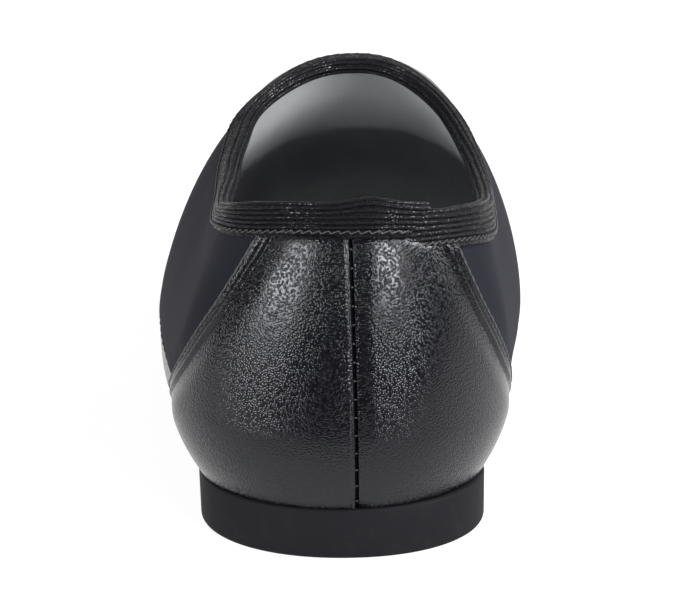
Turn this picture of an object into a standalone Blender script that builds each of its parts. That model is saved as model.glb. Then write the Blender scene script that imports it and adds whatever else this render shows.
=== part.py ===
"""Left jazz shoe: a slip-on dance shoe with a split sole, standing empty on the floor.

One hollow stretch upper follows the last. Leather panels lie on it (a vamp and two heel quarters),
a folded elastic binding closes its collar, an insole lies inside, and a heel and a forefoot sole
carry it. The model is in metres, +Z up, the toe towards +Y, and +X is the medial (inner) side.
"""

import math

import bmesh
import bpy
import numpy as np
from mathutils import Vector
from mathutils.bvhtree import BVHTree

# Driving dimensions. Lengths are in millimetres and become metres where a mesh is made.
MM = 0.001
LENGTH = 250.0
BALL_WIDTH = 82.5
INSTEP_HEIGHT = 79.4
HEEL_HEIGHT = 10.0
SOLE_THICKNESS = 3.0
TOE_SPRING = 4.0

# Thicknesses, and the gap that touching pieces keep, a little more where both are curved.
GAP = 0.3
CURVED_GAP = 0.4
WALL = 1.5
LEATHER = 1.0
INSOLE_THICKNESS = 2.5
BINDING_THICKNESS = 1.3
BINDING_OUTSIDE = 7.0
BINDING_INSIDE = 5.5
LASTING_MARGIN = 11.0

# The last, a row for each section from the heel to the toe. Columns:
#   place              where the section meets the sole, a share of LENGTH from the back of the heel
#   axis               sideways shift of the section's middle, a share of BALL_WIDTH, + is medial
#   sole_l, sole_m     lateral and medial half width at the sole's edge, shares of BALL_WIDTH
#   girth_l, girth_m   largest half widths, shares of BALL_WIDTH
#   bottom             height of the upper's underside above the floor, in millimetres
#   girth_z            height of the largest width, a share of INSTEP_HEIGHT
#   ridge_z            height of the top line, a share of INSTEP_HEIGHT, cut away behind the throat
#   lean               how far the top line lies behind the sole's section, a share of LENGTH
#   ridge_x            sideways shift of the top line from the axis, a share of BALL_WIDTH
#   crown_l, crown_m   fullness beside the top line: 2 is an ellipse, less is a roof
#   flank_l, flank_m   fullness above the girth: 2 is an ellipse, less slopes in sooner
SECTION_COLUMNS = (
    "place", "axis", "sole_l", "sole_m", "girth_l", "girth_m", "bottom", "girth_z",
    "ridge_z", "lean", "ridge_x", "crown_l", "crown_m", "flank_l", "flank_m",
)
HEEL_SEAT = HEEL_HEIGHT + GAP
BALL_SEAT = SOLE_THICKNESS + GAP
TOE_SEAT = BALL_SEAT + 0.5
TOE_RIDGE = 0.572
SECTIONS = np.array((
    (0.124, 0.000, 0.331, 0.331, 0.408, 0.405, HEEL_SEAT, 0.325, 1.010, 0.000, 0.048, 1.75, 1.75, 2.0, 2.0),
    (0.220, 0.013, 0.358, 0.339, 0.436, 0.430, HEEL_SEAT, 0.345, 1.000, 0.012, 0.048, 1.85, 1.85, 1.75, 1.8),
    (0.320, 0.025, 0.406, 0.349, 0.464, 0.458, 8.5, 0.340, 1.005, 0.040, 0.041, 2.20, 2.00, 1.62, 1.65),
    (0.420, 0.039, 0.458, 0.370, 0.485, 0.473, 6.5, 0.315, 1.010, 0.072, 0.032, 2.60, 2.20, 1.52, 1.52),
    (0.520, 0.052, 0.468, 0.400, 0.487, 0.465, 4.5, 0.245, 1.000, 0.100, 0.028, 2.50, 2.20, 1.32, 1.50),
    (0.620, 0.065, 0.467, 0.442, 0.495, 0.473, BALL_SEAT, 0.225, 0.825, 0.088, 0.032, 2.0, 2.0, 1.5, 1.6),
    (0.712, 0.092, 0.436, 0.436, 0.470, 0.468, BALL_SEAT, 0.205, 0.675, 0.060, 0.030, 2.1, 2.1, 1.8, 1.8),
    (0.800, 0.131, 0.394, 0.394, 0.432, 0.432, TOE_SEAT, 0.190, TOE_RIDGE, 0.024, 0.012, 2.2, 2.2, 2.0, 2.0),
))
COLUMN_UNITS = {
    "place": LENGTH, "lean": LENGTH, "bottom": 1.0, "girth_z": INSTEP_HEIGHT,
    "ridge_z": INSTEP_HEIGHT, "crown_l": 1.0, "crown_m": 1.0, "flank_l": 1.0, "flank_m": 1.0,
}

# Behind the first section and ahead of the last one the sections fan about an upright line. Each row
# says what the fan reaches at its end: half lengths at the sole and at the girth, and the heights.
FAN_COLUMNS = ("sole", "girth", "bottom", "girth_z", "ridge_z", "crown", "flank", "power")
HEEL_BACK = dict(zip(FAN_COLUMNS, (27.5, 31.0, HEEL_SEAT, 26.0, 92.0, 2.2, 2.0, 2.1)))
TOE_TIP = dict(zip(FAN_COLUMNS, (
    47.0, 50.0, TOE_SEAT + TOE_SPRING, 17.5, TOE_RIDGE * INSTEP_HEIGHT, 2.2, 2.2, 2.3,
)))
HEEL_ARC = 48.0
TOE_ARC = 64.0
SIDE_CURVE = 1.8

# Side view of the collar's edge: distance from the back of the heel and height.
COLLAR_LINE = np.array([
    (0.0, 70.3), (6.0, 70.0), (10.0, 69.1), (16.0, 67.2), (25.0, 65.0),
    (40.0, 63.0), (60.0, 65.0), (80.0, 70.5), (95.0, 77.0), (104.0, 82.0), (114.0, 88.0),
])
# The collar stands open along the sides, where the wall turns upright below it.
FLARE = 3.3
FLARE_DEPTH = 14.0
FLARE_LIMIT = 1.3
FLARE_STARTS = (6.0, 26.0)
FLARE_ENDS = (40.0, 100.0)

# Side view of the gusset between quarter and vamp: both edges from the collar down to the sole.
EDGE_FOOT = 80.0
QUARTER_EDGE = np.array([
    (14.1, 68.0), (14.5, 62.0), (15.4, 56.0), (17.2, 49.0), (20.0, 43.4), (23.5, 38.0), (31.0, 31.0),
    (55.0, 20.0),
    (EDGE_FOOT, 13.0), (EDGE_FOOT, 4.0),
])
VAMP_EDGE = np.array([
    (98.0, 71.0), (107.5, 61.5), (115.5, 52.0), (119.5, 43.5), (118.0, 36.5), (112.0, 30.8),
    (102.0, 25.4), (92.0, 20.3), (84.0, 15.2),
    (EDGE_FOOT + 2 * GAP, 12.5), (EDGE_FOOT + 2 * GAP, 4.0),
])
SEAM_AT_SOLE = 1.9
SEAM_LEAN = -0.020

# The heel block and the forefoot sole in plan.
HEEL_SHIFT = 0.2
HEEL_HALF_WIDTH = 29.0
HEEL_BACK_REACH = 29.6
HEEL_BLOCK_POWER = 2.1
HEEL_FRONT = 58.0
HEEL_FLARE = 0.3
SOLE_BACK = 126.0
SOLE_INSET = 1.2
EDGE_ROUNDING = 0.8
HEEL_OPENING_FRONT = 54.0
SOLE_OPENING_BACK = 138.0

# How finely the curved pieces are cut.
HEEL_STEPS = 8
COLLAR_STEPS = 9
VAMP_STEPS = 6
TOE_STEPS = 10
SOLE_STEPS = 9
WALL_ROWS = 11
ROW_CROWDING = 0.35
CROWDING = 0.17
CROWDING_POWER = 2.4
LINE_POINTS = 90
COLLAR_POINTS = 600
SKIN_POINTS = 160
EDGE_POINTS = 40
SURFACE_ROWS = 60
SURFACE_WALKS = 150
SEARCH_STEPS = 50
SLOPE_STEP = 0.5
SKIN_FOOT = 0.012
MERGE = 0.002

# Colour, roughness and metallic value of each piece.
FINISHES = {
    "upper": ((0.035, 0.035, 0.045), 0.85, 0.0),
    "vamp": ((0.030, 0.030, 0.033), 0.45, 0.0),
    "quarter_lateral": ((0.030, 0.030, 0.033), 0.45, 0.0),
    "quarter_medial": ((0.030, 0.030, 0.033), 0.45, 0.0),
    "collar_binding": ((0.022, 0.022, 0.026), 0.80, 0.0),
    "insole": ((0.200, 0.200, 0.205), 0.90, 0.0),
    "heel": ((0.022, 0.022, 0.025), 0.75, 0.0),
    "forefoot_sole": ((0.030, 0.029, 0.029), 0.90, 0.0),
}

LATERAL, MEDIAL = -1, 1
HEEL_PIVOT = SECTIONS[0][0] * LENGTH
TOE_PIVOT = SECTIONS[-1][0] * LENGTH
SIDE_START = HEEL_ARC
SIDE_END = HEEL_ARC + TOE_PIVOT - HEEL_PIVOT
TIP = SIDE_END + TOE_ARC


def monotone_curve(places, values):
    """A smooth curve through the points that never overshoots them."""
    steps = np.diff(places)
    slopes = np.diff(values) / steps
    tangents = np.concatenate([slopes[:1], np.zeros(len(slopes) - 1), slopes[-1:]])
    for i in range(1, len(slopes)):
        before, after = slopes[i - 1], slopes[i]
        if before * after > 0:
            near = 2 * steps[i] + steps[i - 1]
            far = steps[i] + 2 * steps[i - 1]
            tangents[i] = (near + far) / (near / before + far / after)

    def curve(x):
        x = np.clip(x, places[0], places[-1])
        i = np.clip(np.searchsorted(places, x) - 1, 0, len(steps) - 1)
        t = (x - places[i]) / steps[i]
        start = (1 + 2 * t) * (1 - t) ** 2 * values[i] + t * (1 - t) ** 2 * steps[i] * tangents[i]
        end = t * t * (3 - 2 * t) * values[i + 1] + t * t * (t - 1) * steps[i] * tangents[i + 1]
        return start + end

    return curve


def section_curves():
    """One smooth curve along the foot for each column of the section table, in millimetres."""
    places = SECTIONS[:, 0] * LENGTH
    return {
        name: monotone_curve(places, SECTIONS[:, i] * COLUMN_UNITS.get(name, BALL_WIDTH))
        for i, name in enumerate(SECTION_COLUMNS)
    }


CURVES = section_curves()
COLLAR_HEIGHT = monotone_curve(COLLAR_LINE[:, 0], COLLAR_LINE[:, 1])


def slope_of(name, place):
    """How fast a column changes along the foot, just inside the table's ends."""
    ahead = min(place + SLOPE_STEP, TOE_PIVOT)
    behind = max(place - SLOPE_STEP, HEEL_PIVOT)
    return float(CURVES[name](ahead) - CURVES[name](behind)) / (ahead - behind)


def smooth_step(x, start, end):
    t = np.clip((x - start) / (end - start), 0.0, 1.0)
    return t * t * (3 - 2 * t)


def station(side, walk):
    """One section of the last. walk runs along the sole's edge from the back of the heel to the toe."""
    place = HEEL_PIVOT + min(max(walk - SIDE_START, 0.0), TOE_PIVOT - HEEL_PIVOT)
    letter = "l" if side == LATERAL else "m"
    row = {name: float(CURVES[name](place)) for name in SECTION_COLUMNS}
    for name in ("sole", "girth", "crown", "flank"):
        row[name] = row[f"{name}_{letter}"]
    row.update(side=side, letter=letter, out_x=float(side), out_y=0.0, drop=0.0)
    if walk < SIDE_START:
        spread_fan(row, HEEL_BACK, 1 - walk / HEEL_ARC, -1)
    elif walk > SIDE_END:
        spread_fan(row, TOE_TIP, (walk - SIDE_END) / TOE_ARC, 1)
    return row


def spread_fan(row, tip, share, forward):
    """Turns a section about its upright line, towards the back of the heel or the tip of the toe."""
    across = math.cos(share * math.pi / 2)
    along = math.sin(share * math.pi / 2)
    for name in ("sole", "girth"):
        slope = slope_of(f"{name}_{row['letter']}", row["place"])
        slope += row["side"] * slope_of("axis", row["place"])
        reach = (across / row[name]) ** tip["power"] + (along / tip[name]) ** tip["power"]
        row[name] = reach ** (-1 / tip["power"]) * (1 + forward * slope * along * across**2)
    for name in ("bottom", "girth_z", "ridge_z", "crown", "flank"):
        row[name] += (tip[name] - row[name]) * along**2
    row["out_x"] *= across
    row["out_y"] = forward * along
    if forward > 0:
        fall = -slope_of("ridge_z", row["place"]) / (1 - slope_of("lean", row["place"]))
        row["drop"] = fall * along * row["girth"] / (row["ridge_z"] - row["girth_z"])


def wall_line(side, walk):
    """Points up the outside of the last from the sole's edge to the top line."""
    row = station(side, walk)
    rise = row["ridge_z"] - row["girth_z"]
    tuck = np.linspace(1.0, 0.0, LINE_POINTS // 3, endpoint=False)
    turn = np.linspace(0.0, math.pi / 2, LINE_POINTS)
    inward = np.cos(turn).clip(0.0) ** (2 / row["crown"])
    upward = np.sin(turn) ** (2 / row["flank"])
    z = np.concatenate([
        row["girth_z"] - (row["girth_z"] - row["bottom"]) * tuck,
        row["girth_z"] + rise * upward * (1 - row["drop"] * inward),
    ])
    reach = np.concatenate([
        row["girth"] - (row["girth"] - row["sole"]) * tuck**SIDE_CURVE,
        row["girth"] * inward,
    ])
    height = (z - row["bottom"]) / (row["ridge_z"] - row["bottom"])
    y = row["place"] + row["out_y"] * reach - row["lean"] * height
    near_collar = np.clip(1 - (COLLAR_HEIGHT(y) - z) / FLARE_DEPTH, 0.0, FLARE_LIMIT)
    opened = smooth_step(y, *FLARE_STARTS) - smooth_step(y, *FLARE_ENDS)
    reach = reach + FLARE * near_collar**2 * opened
    x = row["axis"] + row["out_x"] * reach
    x += row["ridge_x"] * np.clip((z - row["girth_z"]) / rise, 0, 1)
    y = row["place"] + row["out_y"] * reach - row["lean"] * height
    return np.column_stack([x, y, z])


def rim_line(side, walk):
    """The wall line up to the collar's edge, or to the top line ahead of the throat."""
    line = wall_line(side, walk)
    over = line[:, 2] - COLLAR_HEIGHT(line[:, 1])
    above = np.nonzero(over > 0)[0]
    if not len(above):
        return line
    i = above[0]
    share = over[i - 1] / (over[i - 1] - over[i])
    return np.vstack([line[:i], line[i - 1] + share * (line[i] - line[i - 1])])


def lengths_along(line):
    return np.concatenate([[0.0], np.cumsum(np.linalg.norm(np.diff(line, axis=0), axis=1))])


def spaced(line, shares):
    """Points at the given shares of a line's length."""
    lengths = lengths_along(line)
    return np.column_stack([np.interp(shares * lengths[-1], lengths, line[:, i]) for i in range(3)])


def throat_walk():
    """Where the top line meets the collar."""
    low, high = SIDE_START, SIDE_END
    for _ in range(SEARCH_STEPS):
        middle = (low + high) / 2
        top = wall_line(LATERAL, middle)[-1]
        low, high = (middle, high) if top[2] > COLLAR_HEIGHT(top[1]) else (low, middle)
    return low


def binding_front_walk(throat, collar):
    """Where the wall lines come out from under the binding, ahead of the throat."""
    low, high = throat, SIDE_END
    shares = np.linspace(0, 1, SKIN_POINTS)
    for _ in range(SEARCH_STEPS):
        middle = (low + high) / 2
        walls = np.vstack([spaced(wall_line(side, middle), shares) for side in (LATERAL, MEDIAL)])
        apart = np.linalg.norm(walls[:, None] - collar[None], axis=2).min()
        low, high = (middle, high) if apart < BINDING_OUTSIDE + GAP else (low, middle)
    return high


def collar_loop(walks):
    """The collar's edge as a closed loop of points, from the back of the heel round the lateral side."""
    lateral, medial = (
        np.array([rim_line(side, walk)[-1] for walk in walks]) for side in (LATERAL, MEDIAL)
    )
    return np.vstack([lateral, medial[-2:0:-1]])


def crowded(end, count):
    """Stations that crowd towards the one where an edge crosses the top line."""
    return [end - CROWDING * i**CROWDING_POWER for i in range(count, -1, -1)]


def walks_to_throat():
    """The stations from the back of the heel to the throat."""
    near_throat = crowded(THROAT, 6)
    sides = np.linspace(SIDE_START, near_throat[0], COLLAR_STEPS, endpoint=False)
    return [*np.linspace(0, SIDE_START, HEEL_STEPS, endpoint=False), *sides, *near_throat]


def walks_from_throat():
    """The stations from just ahead of the throat to the tip of the toe."""
    near_binding = [walk for walk in crowded(BINDING_FRONT, 4) if walk > THROAT + CROWDING]
    vamp = np.linspace(BINDING_FRONT, SIDE_END, VAMP_STEPS, endpoint=False)[1:]
    return [*near_binding, *vamp, *np.linspace(SIDE_END, TIP, TOE_STEPS + 1)]


THROAT = throat_walk()
COLLAR_WALKS = walks_to_throat()
COLLAR = collar_loop(COLLAR_WALKS)
COLLAR_FINE = spaced(np.vstack([COLLAR, COLLAR[:1]]), np.linspace(0, 1, COLLAR_POINTS))
BINDING_FRONT = binding_front_walk(THROAT, COLLAR_FINE)
WALKS = COLLAR_WALKS + walks_from_throat()
EVEN_ROWS = np.linspace(0, 1, WALL_ROWS + 1)
ROWS = EVEN_ROWS - ROW_CROWDING * np.sin(2 * math.pi * EVEN_ROWS) / (2 * math.pi)


def mesh_from(name, points, faces, closed=False):
    """A mesh in metres with its shared points joined, and facing out if it is closed."""
    mesh = bpy.data.meshes.new(name)
    grown = bmesh.new()
    verts = [grown.verts.new(Vector(point) * MM) for point in points]
    for face in faces:
        corners = [verts[i] for i in face]
        if len(set(corners)) == len(corners):
            grown.faces.new(corners)
    bmesh.ops.remove_doubles(grown, verts=grown.verts, dist=MERGE * MM)
    bmesh.ops.dissolve_degenerate(grown, edges=grown.edges, dist=MERGE * MM)
    if closed:
        bmesh.ops.recalc_face_normals(grown, faces=grown.faces)
    grown.to_mesh(mesh)
    grown.free()
    mesh.shade_smooth()
    return mesh


def part(name, mesh, sharp_angle=40.0):
    """One piece of the shoe with its own finish."""
    mesh.set_sharp_from_angle(angle=math.radians(sharp_angle))
    piece = bpy.data.objects.new(name, mesh)
    bpy.context.scene.collection.objects.link(piece)
    colour, roughness, metallic = FINISHES[name]
    finish = bpy.data.materials.new(name)
    finish.use_nodes = True
    shader = finish.node_tree.nodes["Principled BSDF"]
    shader.inputs["Base Color"].default_value = (*colour, 1.0)
    shader.inputs["Roughness"].default_value = roughness
    shader.inputs["Metallic"].default_value = metallic
    if not mesh.materials:
        mesh.materials.append(finish)
    piece.material_slots[0].link = "OBJECT"
    piece.material_slots[0].material = finish
    return piece


def thicken(piece, thickness, outward):
    wall = piece.modifiers.new("wall", "SOLIDIFY")
    wall.thickness = thickness * MM
    wall.offset = 1.0 if outward else -1.0
    wall.use_even_offset = True
    wall.use_quality_normals = True


def shell_grid(side_rows):
    """Faces out of rows of points up each side, given as {side: [points of each station]}."""
    points, faces = [], []
    for side, stations in side_rows.items():
        first = len(points)
        rows = len(stations[0])
        points += [point for rows_here in stations for point in rows_here]
        for i in range(len(stations) - 1):
            for j in range(rows - 1):
                here = first + i * rows + j
                face = (here, here + rows, here + rows + 1, here + 1)
                faces.append(face if side == MEDIAL else face[::-1])
    return points, faces


def underside(side, walk):
    """The lasting margin from its inner edge out to the sole's edge, closed across the arch."""
    row = station(side, walk)
    open_here = not HEEL_OPENING_FRONT < row["place"] < SOLE_OPENING_BACK
    inner = row["sole"] - LASTING_MARGIN if open_here else 0.0
    reaches = np.array([inner, (inner + row["sole"]) / 2])
    middle = CURVES["bottom"](row["place"])
    return np.column_stack([
        row["axis"] + row["out_x"] * reaches,
        row["place"] + row["out_y"] * reaches,
        middle + (row["bottom"] - middle) * reaches / row["sole"],
    ])


def make_upper():
    sides = {
        side: [np.vstack([underside(side, walk), spaced(rim_line(side, walk), ROWS)]) for walk in WALKS]
        for side in (LATERAL, MEDIAL)
    }
    upper = part("upper", mesh_from("upper", *shell_grid(sides)), 60.0)
    thicken(upper, WALL, outward=False)
    return upper


def leather_line(side, walk):
    """The wall line from just above the sole up to the binding's lower edge."""
    line = spaced(rim_line(side, walk), np.linspace(0, 1, SKIN_POINTS))
    apart = np.linalg.norm(line[:, None] - COLLAR_FINE[None], axis=2).min(axis=1)
    covered = np.nonzero(apart < BINDING_OUTSIDE + GAP)[0]
    if len(covered):
        i = covered[0]
        share = (apart[i - 1] - BINDING_OUTSIDE - GAP) / (apart[i - 1] - apart[i])
        line = np.vstack([line[:i], line[i - 1] + share * (line[i] - line[i - 1])])
    return line


def leather_skin():
    """The leather over the whole outside, before its panels are cut out."""
    shares = np.concatenate([[SKIN_FOOT], ROWS[1:]])
    sides = {
        side: [spaced(leather_line(side, walk), shares) for walk in WALKS] for side in (LATERAL, MEDIAL)
    }
    mesh = mesh_from("leather", *shell_grid(sides))
    lift = [vertex.normal * CURVED_GAP * MM for vertex in mesh.vertices]
    for vertex, offset in zip(mesh.vertices, lift):
        vertex.co += offset
    return mesh


def smooth_edge(table):
    """A smooth side-view line through the rows of an edge table."""
    lengths = lengths_along(table)
    at = np.linspace(0, lengths[-1], EDGE_POINTS)
    return np.column_stack([monotone_curve(lengths, table[:, i])(at) for i in range(2)])


def seam_x(z):
    return SEAM_AT_SOLE + SEAM_LEAN * z


def panel_cutter(name, outline, near, far):
    """A prism across the shoe with the panel's side view. near and far give its ends' x at a height."""
    count = len(outline)
    points = [(near(z), y, z) for y, z in outline] + [(far(z), y, z) for y, z in outline]
    faces = [tuple(range(count)), tuple(range(2 * count - 1, count - 1, -1))]
    faces += [(i, i + count, (i + 1) % count + count, (i + 1) % count) for i in range(count)]
    cutter = bpy.data.objects.new(name, mesh_from(name, points, faces, closed=True))
    bpy.context.scene.collection.objects.link(cutter)
    cutter.hide_render = True
    cutter.display_type = "WIRE"
    return cutter


def make_panels():
    """The vamp and the two quarters, cut out of the leather by their side views."""
    beyond, above, below = 70.0, 100.0, -4.0
    back, front = -beyond, LENGTH + beyond
    quarter = smooth_edge(QUARTER_EDGE)
    vamp = smooth_edge(VAMP_EDGE)
    quarter_outline = [(quarter[0][0], above), *quarter, (quarter[-1][0], below)]
    quarter_outline += [(back, below), (back, above)]
    vamp_outline = [(vamp[0][0], above), *vamp, (vamp[-1][0], below)]
    vamp_outline += [(front, below), (front, above)]
    cutters = {
        "vamp": panel_cutter("vamp_outline", vamp_outline, lambda z: -beyond, lambda z: beyond),
        "quarter_lateral": panel_cutter(
            "quarter_lateral_outline", quarter_outline, lambda z: -beyond, lambda z: seam_x(z) - GAP
        ),
        "quarter_medial": panel_cutter(
            "quarter_medial_outline", quarter_outline, lambda z: seam_x(z) + GAP, lambda z: beyond
        ),
    }
    skin = leather_skin()
    panels = []
    for name, cutter in cutters.items():
        panel = part(name, skin.copy())
        thicken(panel, LEATHER, outward=True)
        cut = panel.modifiers.new("outline", "BOOLEAN")
        cut.operation = "INTERSECT"
        cut.solver = "EXACT"
        cut.object = cutter
        panels.append(panel)
    return panels, list(cutters.values())


def last_surface():
    """The outside of the last beside the collar, finely cut, to lay the binding on."""
    lowest_share, ahead_of_throat = 0.35, 40.0
    shares = np.linspace(lowest_share, 1.0, SURFACE_ROWS)
    walks = np.linspace(0, THROAT + ahead_of_throat, SURFACE_WALKS)
    points, faces = shell_grid({
        side: [spaced(wall_line(side, walk), shares) for walk in walks] for side in (LATERAL, MEDIAL)
    })
    return BVHTree.FromPolygons([Vector(point) for point in points], faces)


def make_binding():
    """An elastic band folded over the collar's edge: a hook-shaped section swept round the opening."""
    surface = last_surface()
    outer, inner = CURVED_GAP, -WALL - CURVED_GAP
    skin = BINDING_THICKNESS
    thin, half = 0.7 * skin, 0.5 * skin
    fold_start, fold_shoulder, fold_top = 0.4, -0.8, -GAP - skin
    # The section, as distance below the collar's edge and offset from the wall's outside.
    section = (
        (BINDING_OUTSIDE, outer + thin), (BINDING_OUTSIDE / 2, outer + skin), (fold_start, outer + skin),
        (fold_shoulder, outer + half), (fold_top, (outer + inner) / 2), (fold_shoulder, inner - half),
        (fold_start, inner - skin), (BINDING_INSIDE / 2, inner - skin), (BINDING_INSIDE, inner - thin),
        (BINDING_INSIDE, inner), (BINDING_INSIDE / 2, inner), (-GAP, inner),
        (-GAP, outer), (BINDING_OUTSIDE / 2, outer), (BINDING_OUTSIDE, outer),
    )
    points = []
    steps = len(COLLAR)
    for i, edge in enumerate(COLLAR):
        ahead = COLLAR[(i + 1) % steps] - COLLAR[i - 1]
        tangent = Vector(ahead).normalized()
        _, normal, _, _ = surface.find_nearest(Vector(edge))
        down = normal.cross(tangent).normalized()
        for below, offset in section:
            spot, facing, _, _ = surface.find_nearest(Vector(edge) + down * max(below, 0.0))
            points.append(spot + facing * offset + down * min(below, 0.0))
    count = len(section)
    faces = []
    for i in range(steps):
        after = (i + 1) % steps
        for j in range(count):
            k = (j + 1) % count
            faces.append((i * count + j, i * count + k, after * count + k, after * count + j))
    return part("collar_binding", mesh_from("collar_binding", points, faces, closed=True))


def blunt(rail):
    """Whether a plate ends in a straight edge here and not in a point of its outline."""
    lateral, _, medial = rail
    return np.linalg.norm(lateral - medial) > GAP


def plate(name, rails, levels):
    """A plate between two side rails. rails gives the (lateral, middle, medial) points of each station,
    and levels gives (height above those points, inset from the edge) from the bottom up."""
    points = []
    for height, inset in levels:
        for lateral, middle, medial in rails:
            for spot in (lateral, middle, medial):
                reach = np.linalg.norm((spot - middle)[:2])
                kept = 1 - inset / reach if reach else 0.0
                x, y = middle[:2] + (spot - middle)[:2] * kept
                points.append((x, y, max(spot[2] + height, 0.0)))
    count = len(rails)
    layer = 3 * count
    top = (len(levels) - 1) * layer
    faces = []
    for i in range(count - 1):
        for j in (0, 1):
            here = 3 * i + j
            faces.append((here, here + 3, here + 4, here + 1))
            faces.append((top + here, top + here + 1, top + here + 4, top + here + 3))
    for floor in range(0, top, layer):
        ring = [3 * i for i in range(count)]
        ring += [3 * count - 2] if blunt(rails[-1]) else []
        ring += [3 * i + 2 for i in reversed(range(count))]
        ring += [1] if blunt(rails[0]) else []
        for a, b in zip(ring, ring[1:] + ring[:1]):
            faces.append((floor + a, floor + layer + a, floor + layer + b, floor + b))
    return part(name, mesh_from(name, points, faces, closed=True))


def sole_rails(walks, inset):
    """The sole's edge on both sides of the underside, moved inwards, and the middle between them."""
    rails = []
    for walk in walks:
        edges = []
        for side in (LATERAL, MEDIAL):
            row = station(side, walk)
            reach = row["sole"] - inset
            x = row["axis"] + row["out_x"] * reach
            y = row["place"] + row["out_y"] * reach
            edges.append(np.array([x, y, row["bottom"]]))
        middle = np.array([row["axis"], row["place"], float(CURVES["bottom"](row["place"]))])
        rails.append((edges[0], middle, edges[1]))
    return rails


def make_insole():
    rails = sole_rails(WALKS, WALL + 2 * GAP)
    base = WALL + GAP
    levels = ((base, EDGE_ROUNDING), (base + EDGE_ROUNDING, 0.0), (base + INSOLE_THICKNESS, 0.0))
    return plate("insole", rails, levels)


def make_heel():
    """A rubber block, round at the back, straight across the front, flaring a little forwards."""
    rails = []
    power = HEEL_BLOCK_POWER
    for share in np.linspace(0, 1, HEEL_STEPS + 3):
        turn = share * math.pi / 2
        across, along = math.sin(turn), math.cos(turn)
        reach = (across / HEEL_HALF_WIDTH) ** power + (along / HEEL_BACK_REACH) ** power
        reach = reach ** (-1 / power)
        middle = np.array([HEEL_SHIFT, HEEL_PIVOT, 0.0])
        lateral, medial = (
            middle + np.array([side * across, -along, 0.0]) * reach for side in (LATERAL, MEDIAL)
        )
        rails.append((lateral, middle, medial))
    for share in (0.5, 1.0):
        place = HEEL_PIVOT + share * (HEEL_FRONT - HEEL_PIVOT)
        half = np.array([HEEL_HALF_WIDTH + share * HEEL_FLARE, 0.0, 0.0])
        middle = np.array([HEEL_SHIFT, place, 0.0])
        rails.append((middle - half, middle, middle + half))
    top = CURVES["bottom"](HEEL_FRONT) - GAP
    top_rounding = EDGE_ROUNDING / 2
    levels = (
        (0.0, EDGE_ROUNDING), (EDGE_ROUNDING, 0.0), (top - top_rounding, 0.0), (top, top_rounding),
    )
    return plate("heel", rails, levels)


def make_forefoot_sole():
    start = SIDE_START + SOLE_BACK - HEEL_PIVOT
    sides = np.linspace(start, SIDE_END, SOLE_STEPS, endpoint=False)
    rails = sole_rails([*sides, *np.linspace(SIDE_END, TIP, TOE_STEPS + 1)], SOLE_INSET)
    bottom = -BALL_SEAT
    levels = ((bottom, EDGE_ROUNDING), (bottom + EDGE_ROUNDING, 0.0), (-GAP, 0.0))
    return plate("forefoot_sole", rails, levels)


def stand(pieces, helpers):
    """Hangs every piece on one empty, placed so that the middle of the underside is the origin."""
    bpy.context.view_layer.update()
    graph = bpy.context.evaluated_depsgraph_get()
    corners = np.array([corner for piece in pieces for corner in piece.evaluated_get(graph).bound_box])
    low, high = corners.min(axis=0), corners.max(axis=0)
    shoe = bpy.data.objects.new("shoe", None)
    bpy.context.scene.collection.objects.link(shoe)
    shoe.location = (-(low[0] + high[0]) / 2, -(low[1] + high[1]) / 2, -low[2])
    for piece in pieces + helpers:
        piece.parent = shoe
    bpy.context.view_layer.update()


def main():
    for old in list(bpy.data.objects):
        bpy.data.objects.remove(old, do_unlink=True)
    panels, cutters = make_panels()
    pieces = [make_upper(), *panels, make_binding(), make_insole(), make_heel(), make_forefoot_sole()]
    stand(pieces, cutters)


main()
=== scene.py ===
# %% [markdown]
# # A left jazz shoe, dressed
#
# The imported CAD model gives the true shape: a hollow stretch upper, leather panels, an elastic
# binding, an insole, a heel block and a forefoot sole. This lesson lays finer pieces over those
# solids. Every piece follows one surface, the shoemaker's last, so the pieces fit each other.

import math

import bmesh
import bpy
import numpy as np
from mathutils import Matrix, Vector, kdtree
from mathutils.bvhtree import BVHTree


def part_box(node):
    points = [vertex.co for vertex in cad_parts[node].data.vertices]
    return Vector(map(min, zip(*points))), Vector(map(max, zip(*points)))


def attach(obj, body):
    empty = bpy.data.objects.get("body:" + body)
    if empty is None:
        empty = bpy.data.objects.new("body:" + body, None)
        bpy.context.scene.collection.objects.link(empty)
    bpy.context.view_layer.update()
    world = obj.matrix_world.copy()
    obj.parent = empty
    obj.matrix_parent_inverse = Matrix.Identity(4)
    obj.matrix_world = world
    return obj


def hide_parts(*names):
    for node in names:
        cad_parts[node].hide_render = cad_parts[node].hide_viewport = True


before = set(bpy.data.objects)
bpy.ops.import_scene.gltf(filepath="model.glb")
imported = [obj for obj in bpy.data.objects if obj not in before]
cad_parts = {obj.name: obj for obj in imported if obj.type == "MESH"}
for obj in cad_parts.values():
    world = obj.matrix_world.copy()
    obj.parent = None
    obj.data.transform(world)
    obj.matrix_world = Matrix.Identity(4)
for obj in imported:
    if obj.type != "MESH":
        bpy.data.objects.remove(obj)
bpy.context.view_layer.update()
MM = 0.001
LATERAL, MEDIAL = -1, 1

# %% [markdown]
# ## The last
#
# A last is the form a shoe is pulled over. Sections along the foot describe it, and a smooth curve
# runs through each column of their table. The lengths here are millimetres from the back of the
# heel, because shoemakers think in them. SHIFT takes a point to the frame, whose origin lies under
# the arch. The heel block tells where that is. A sculpted mesh would give one such form, but a table
# can be read, checked against the CAD model and used by every piece.

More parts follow.
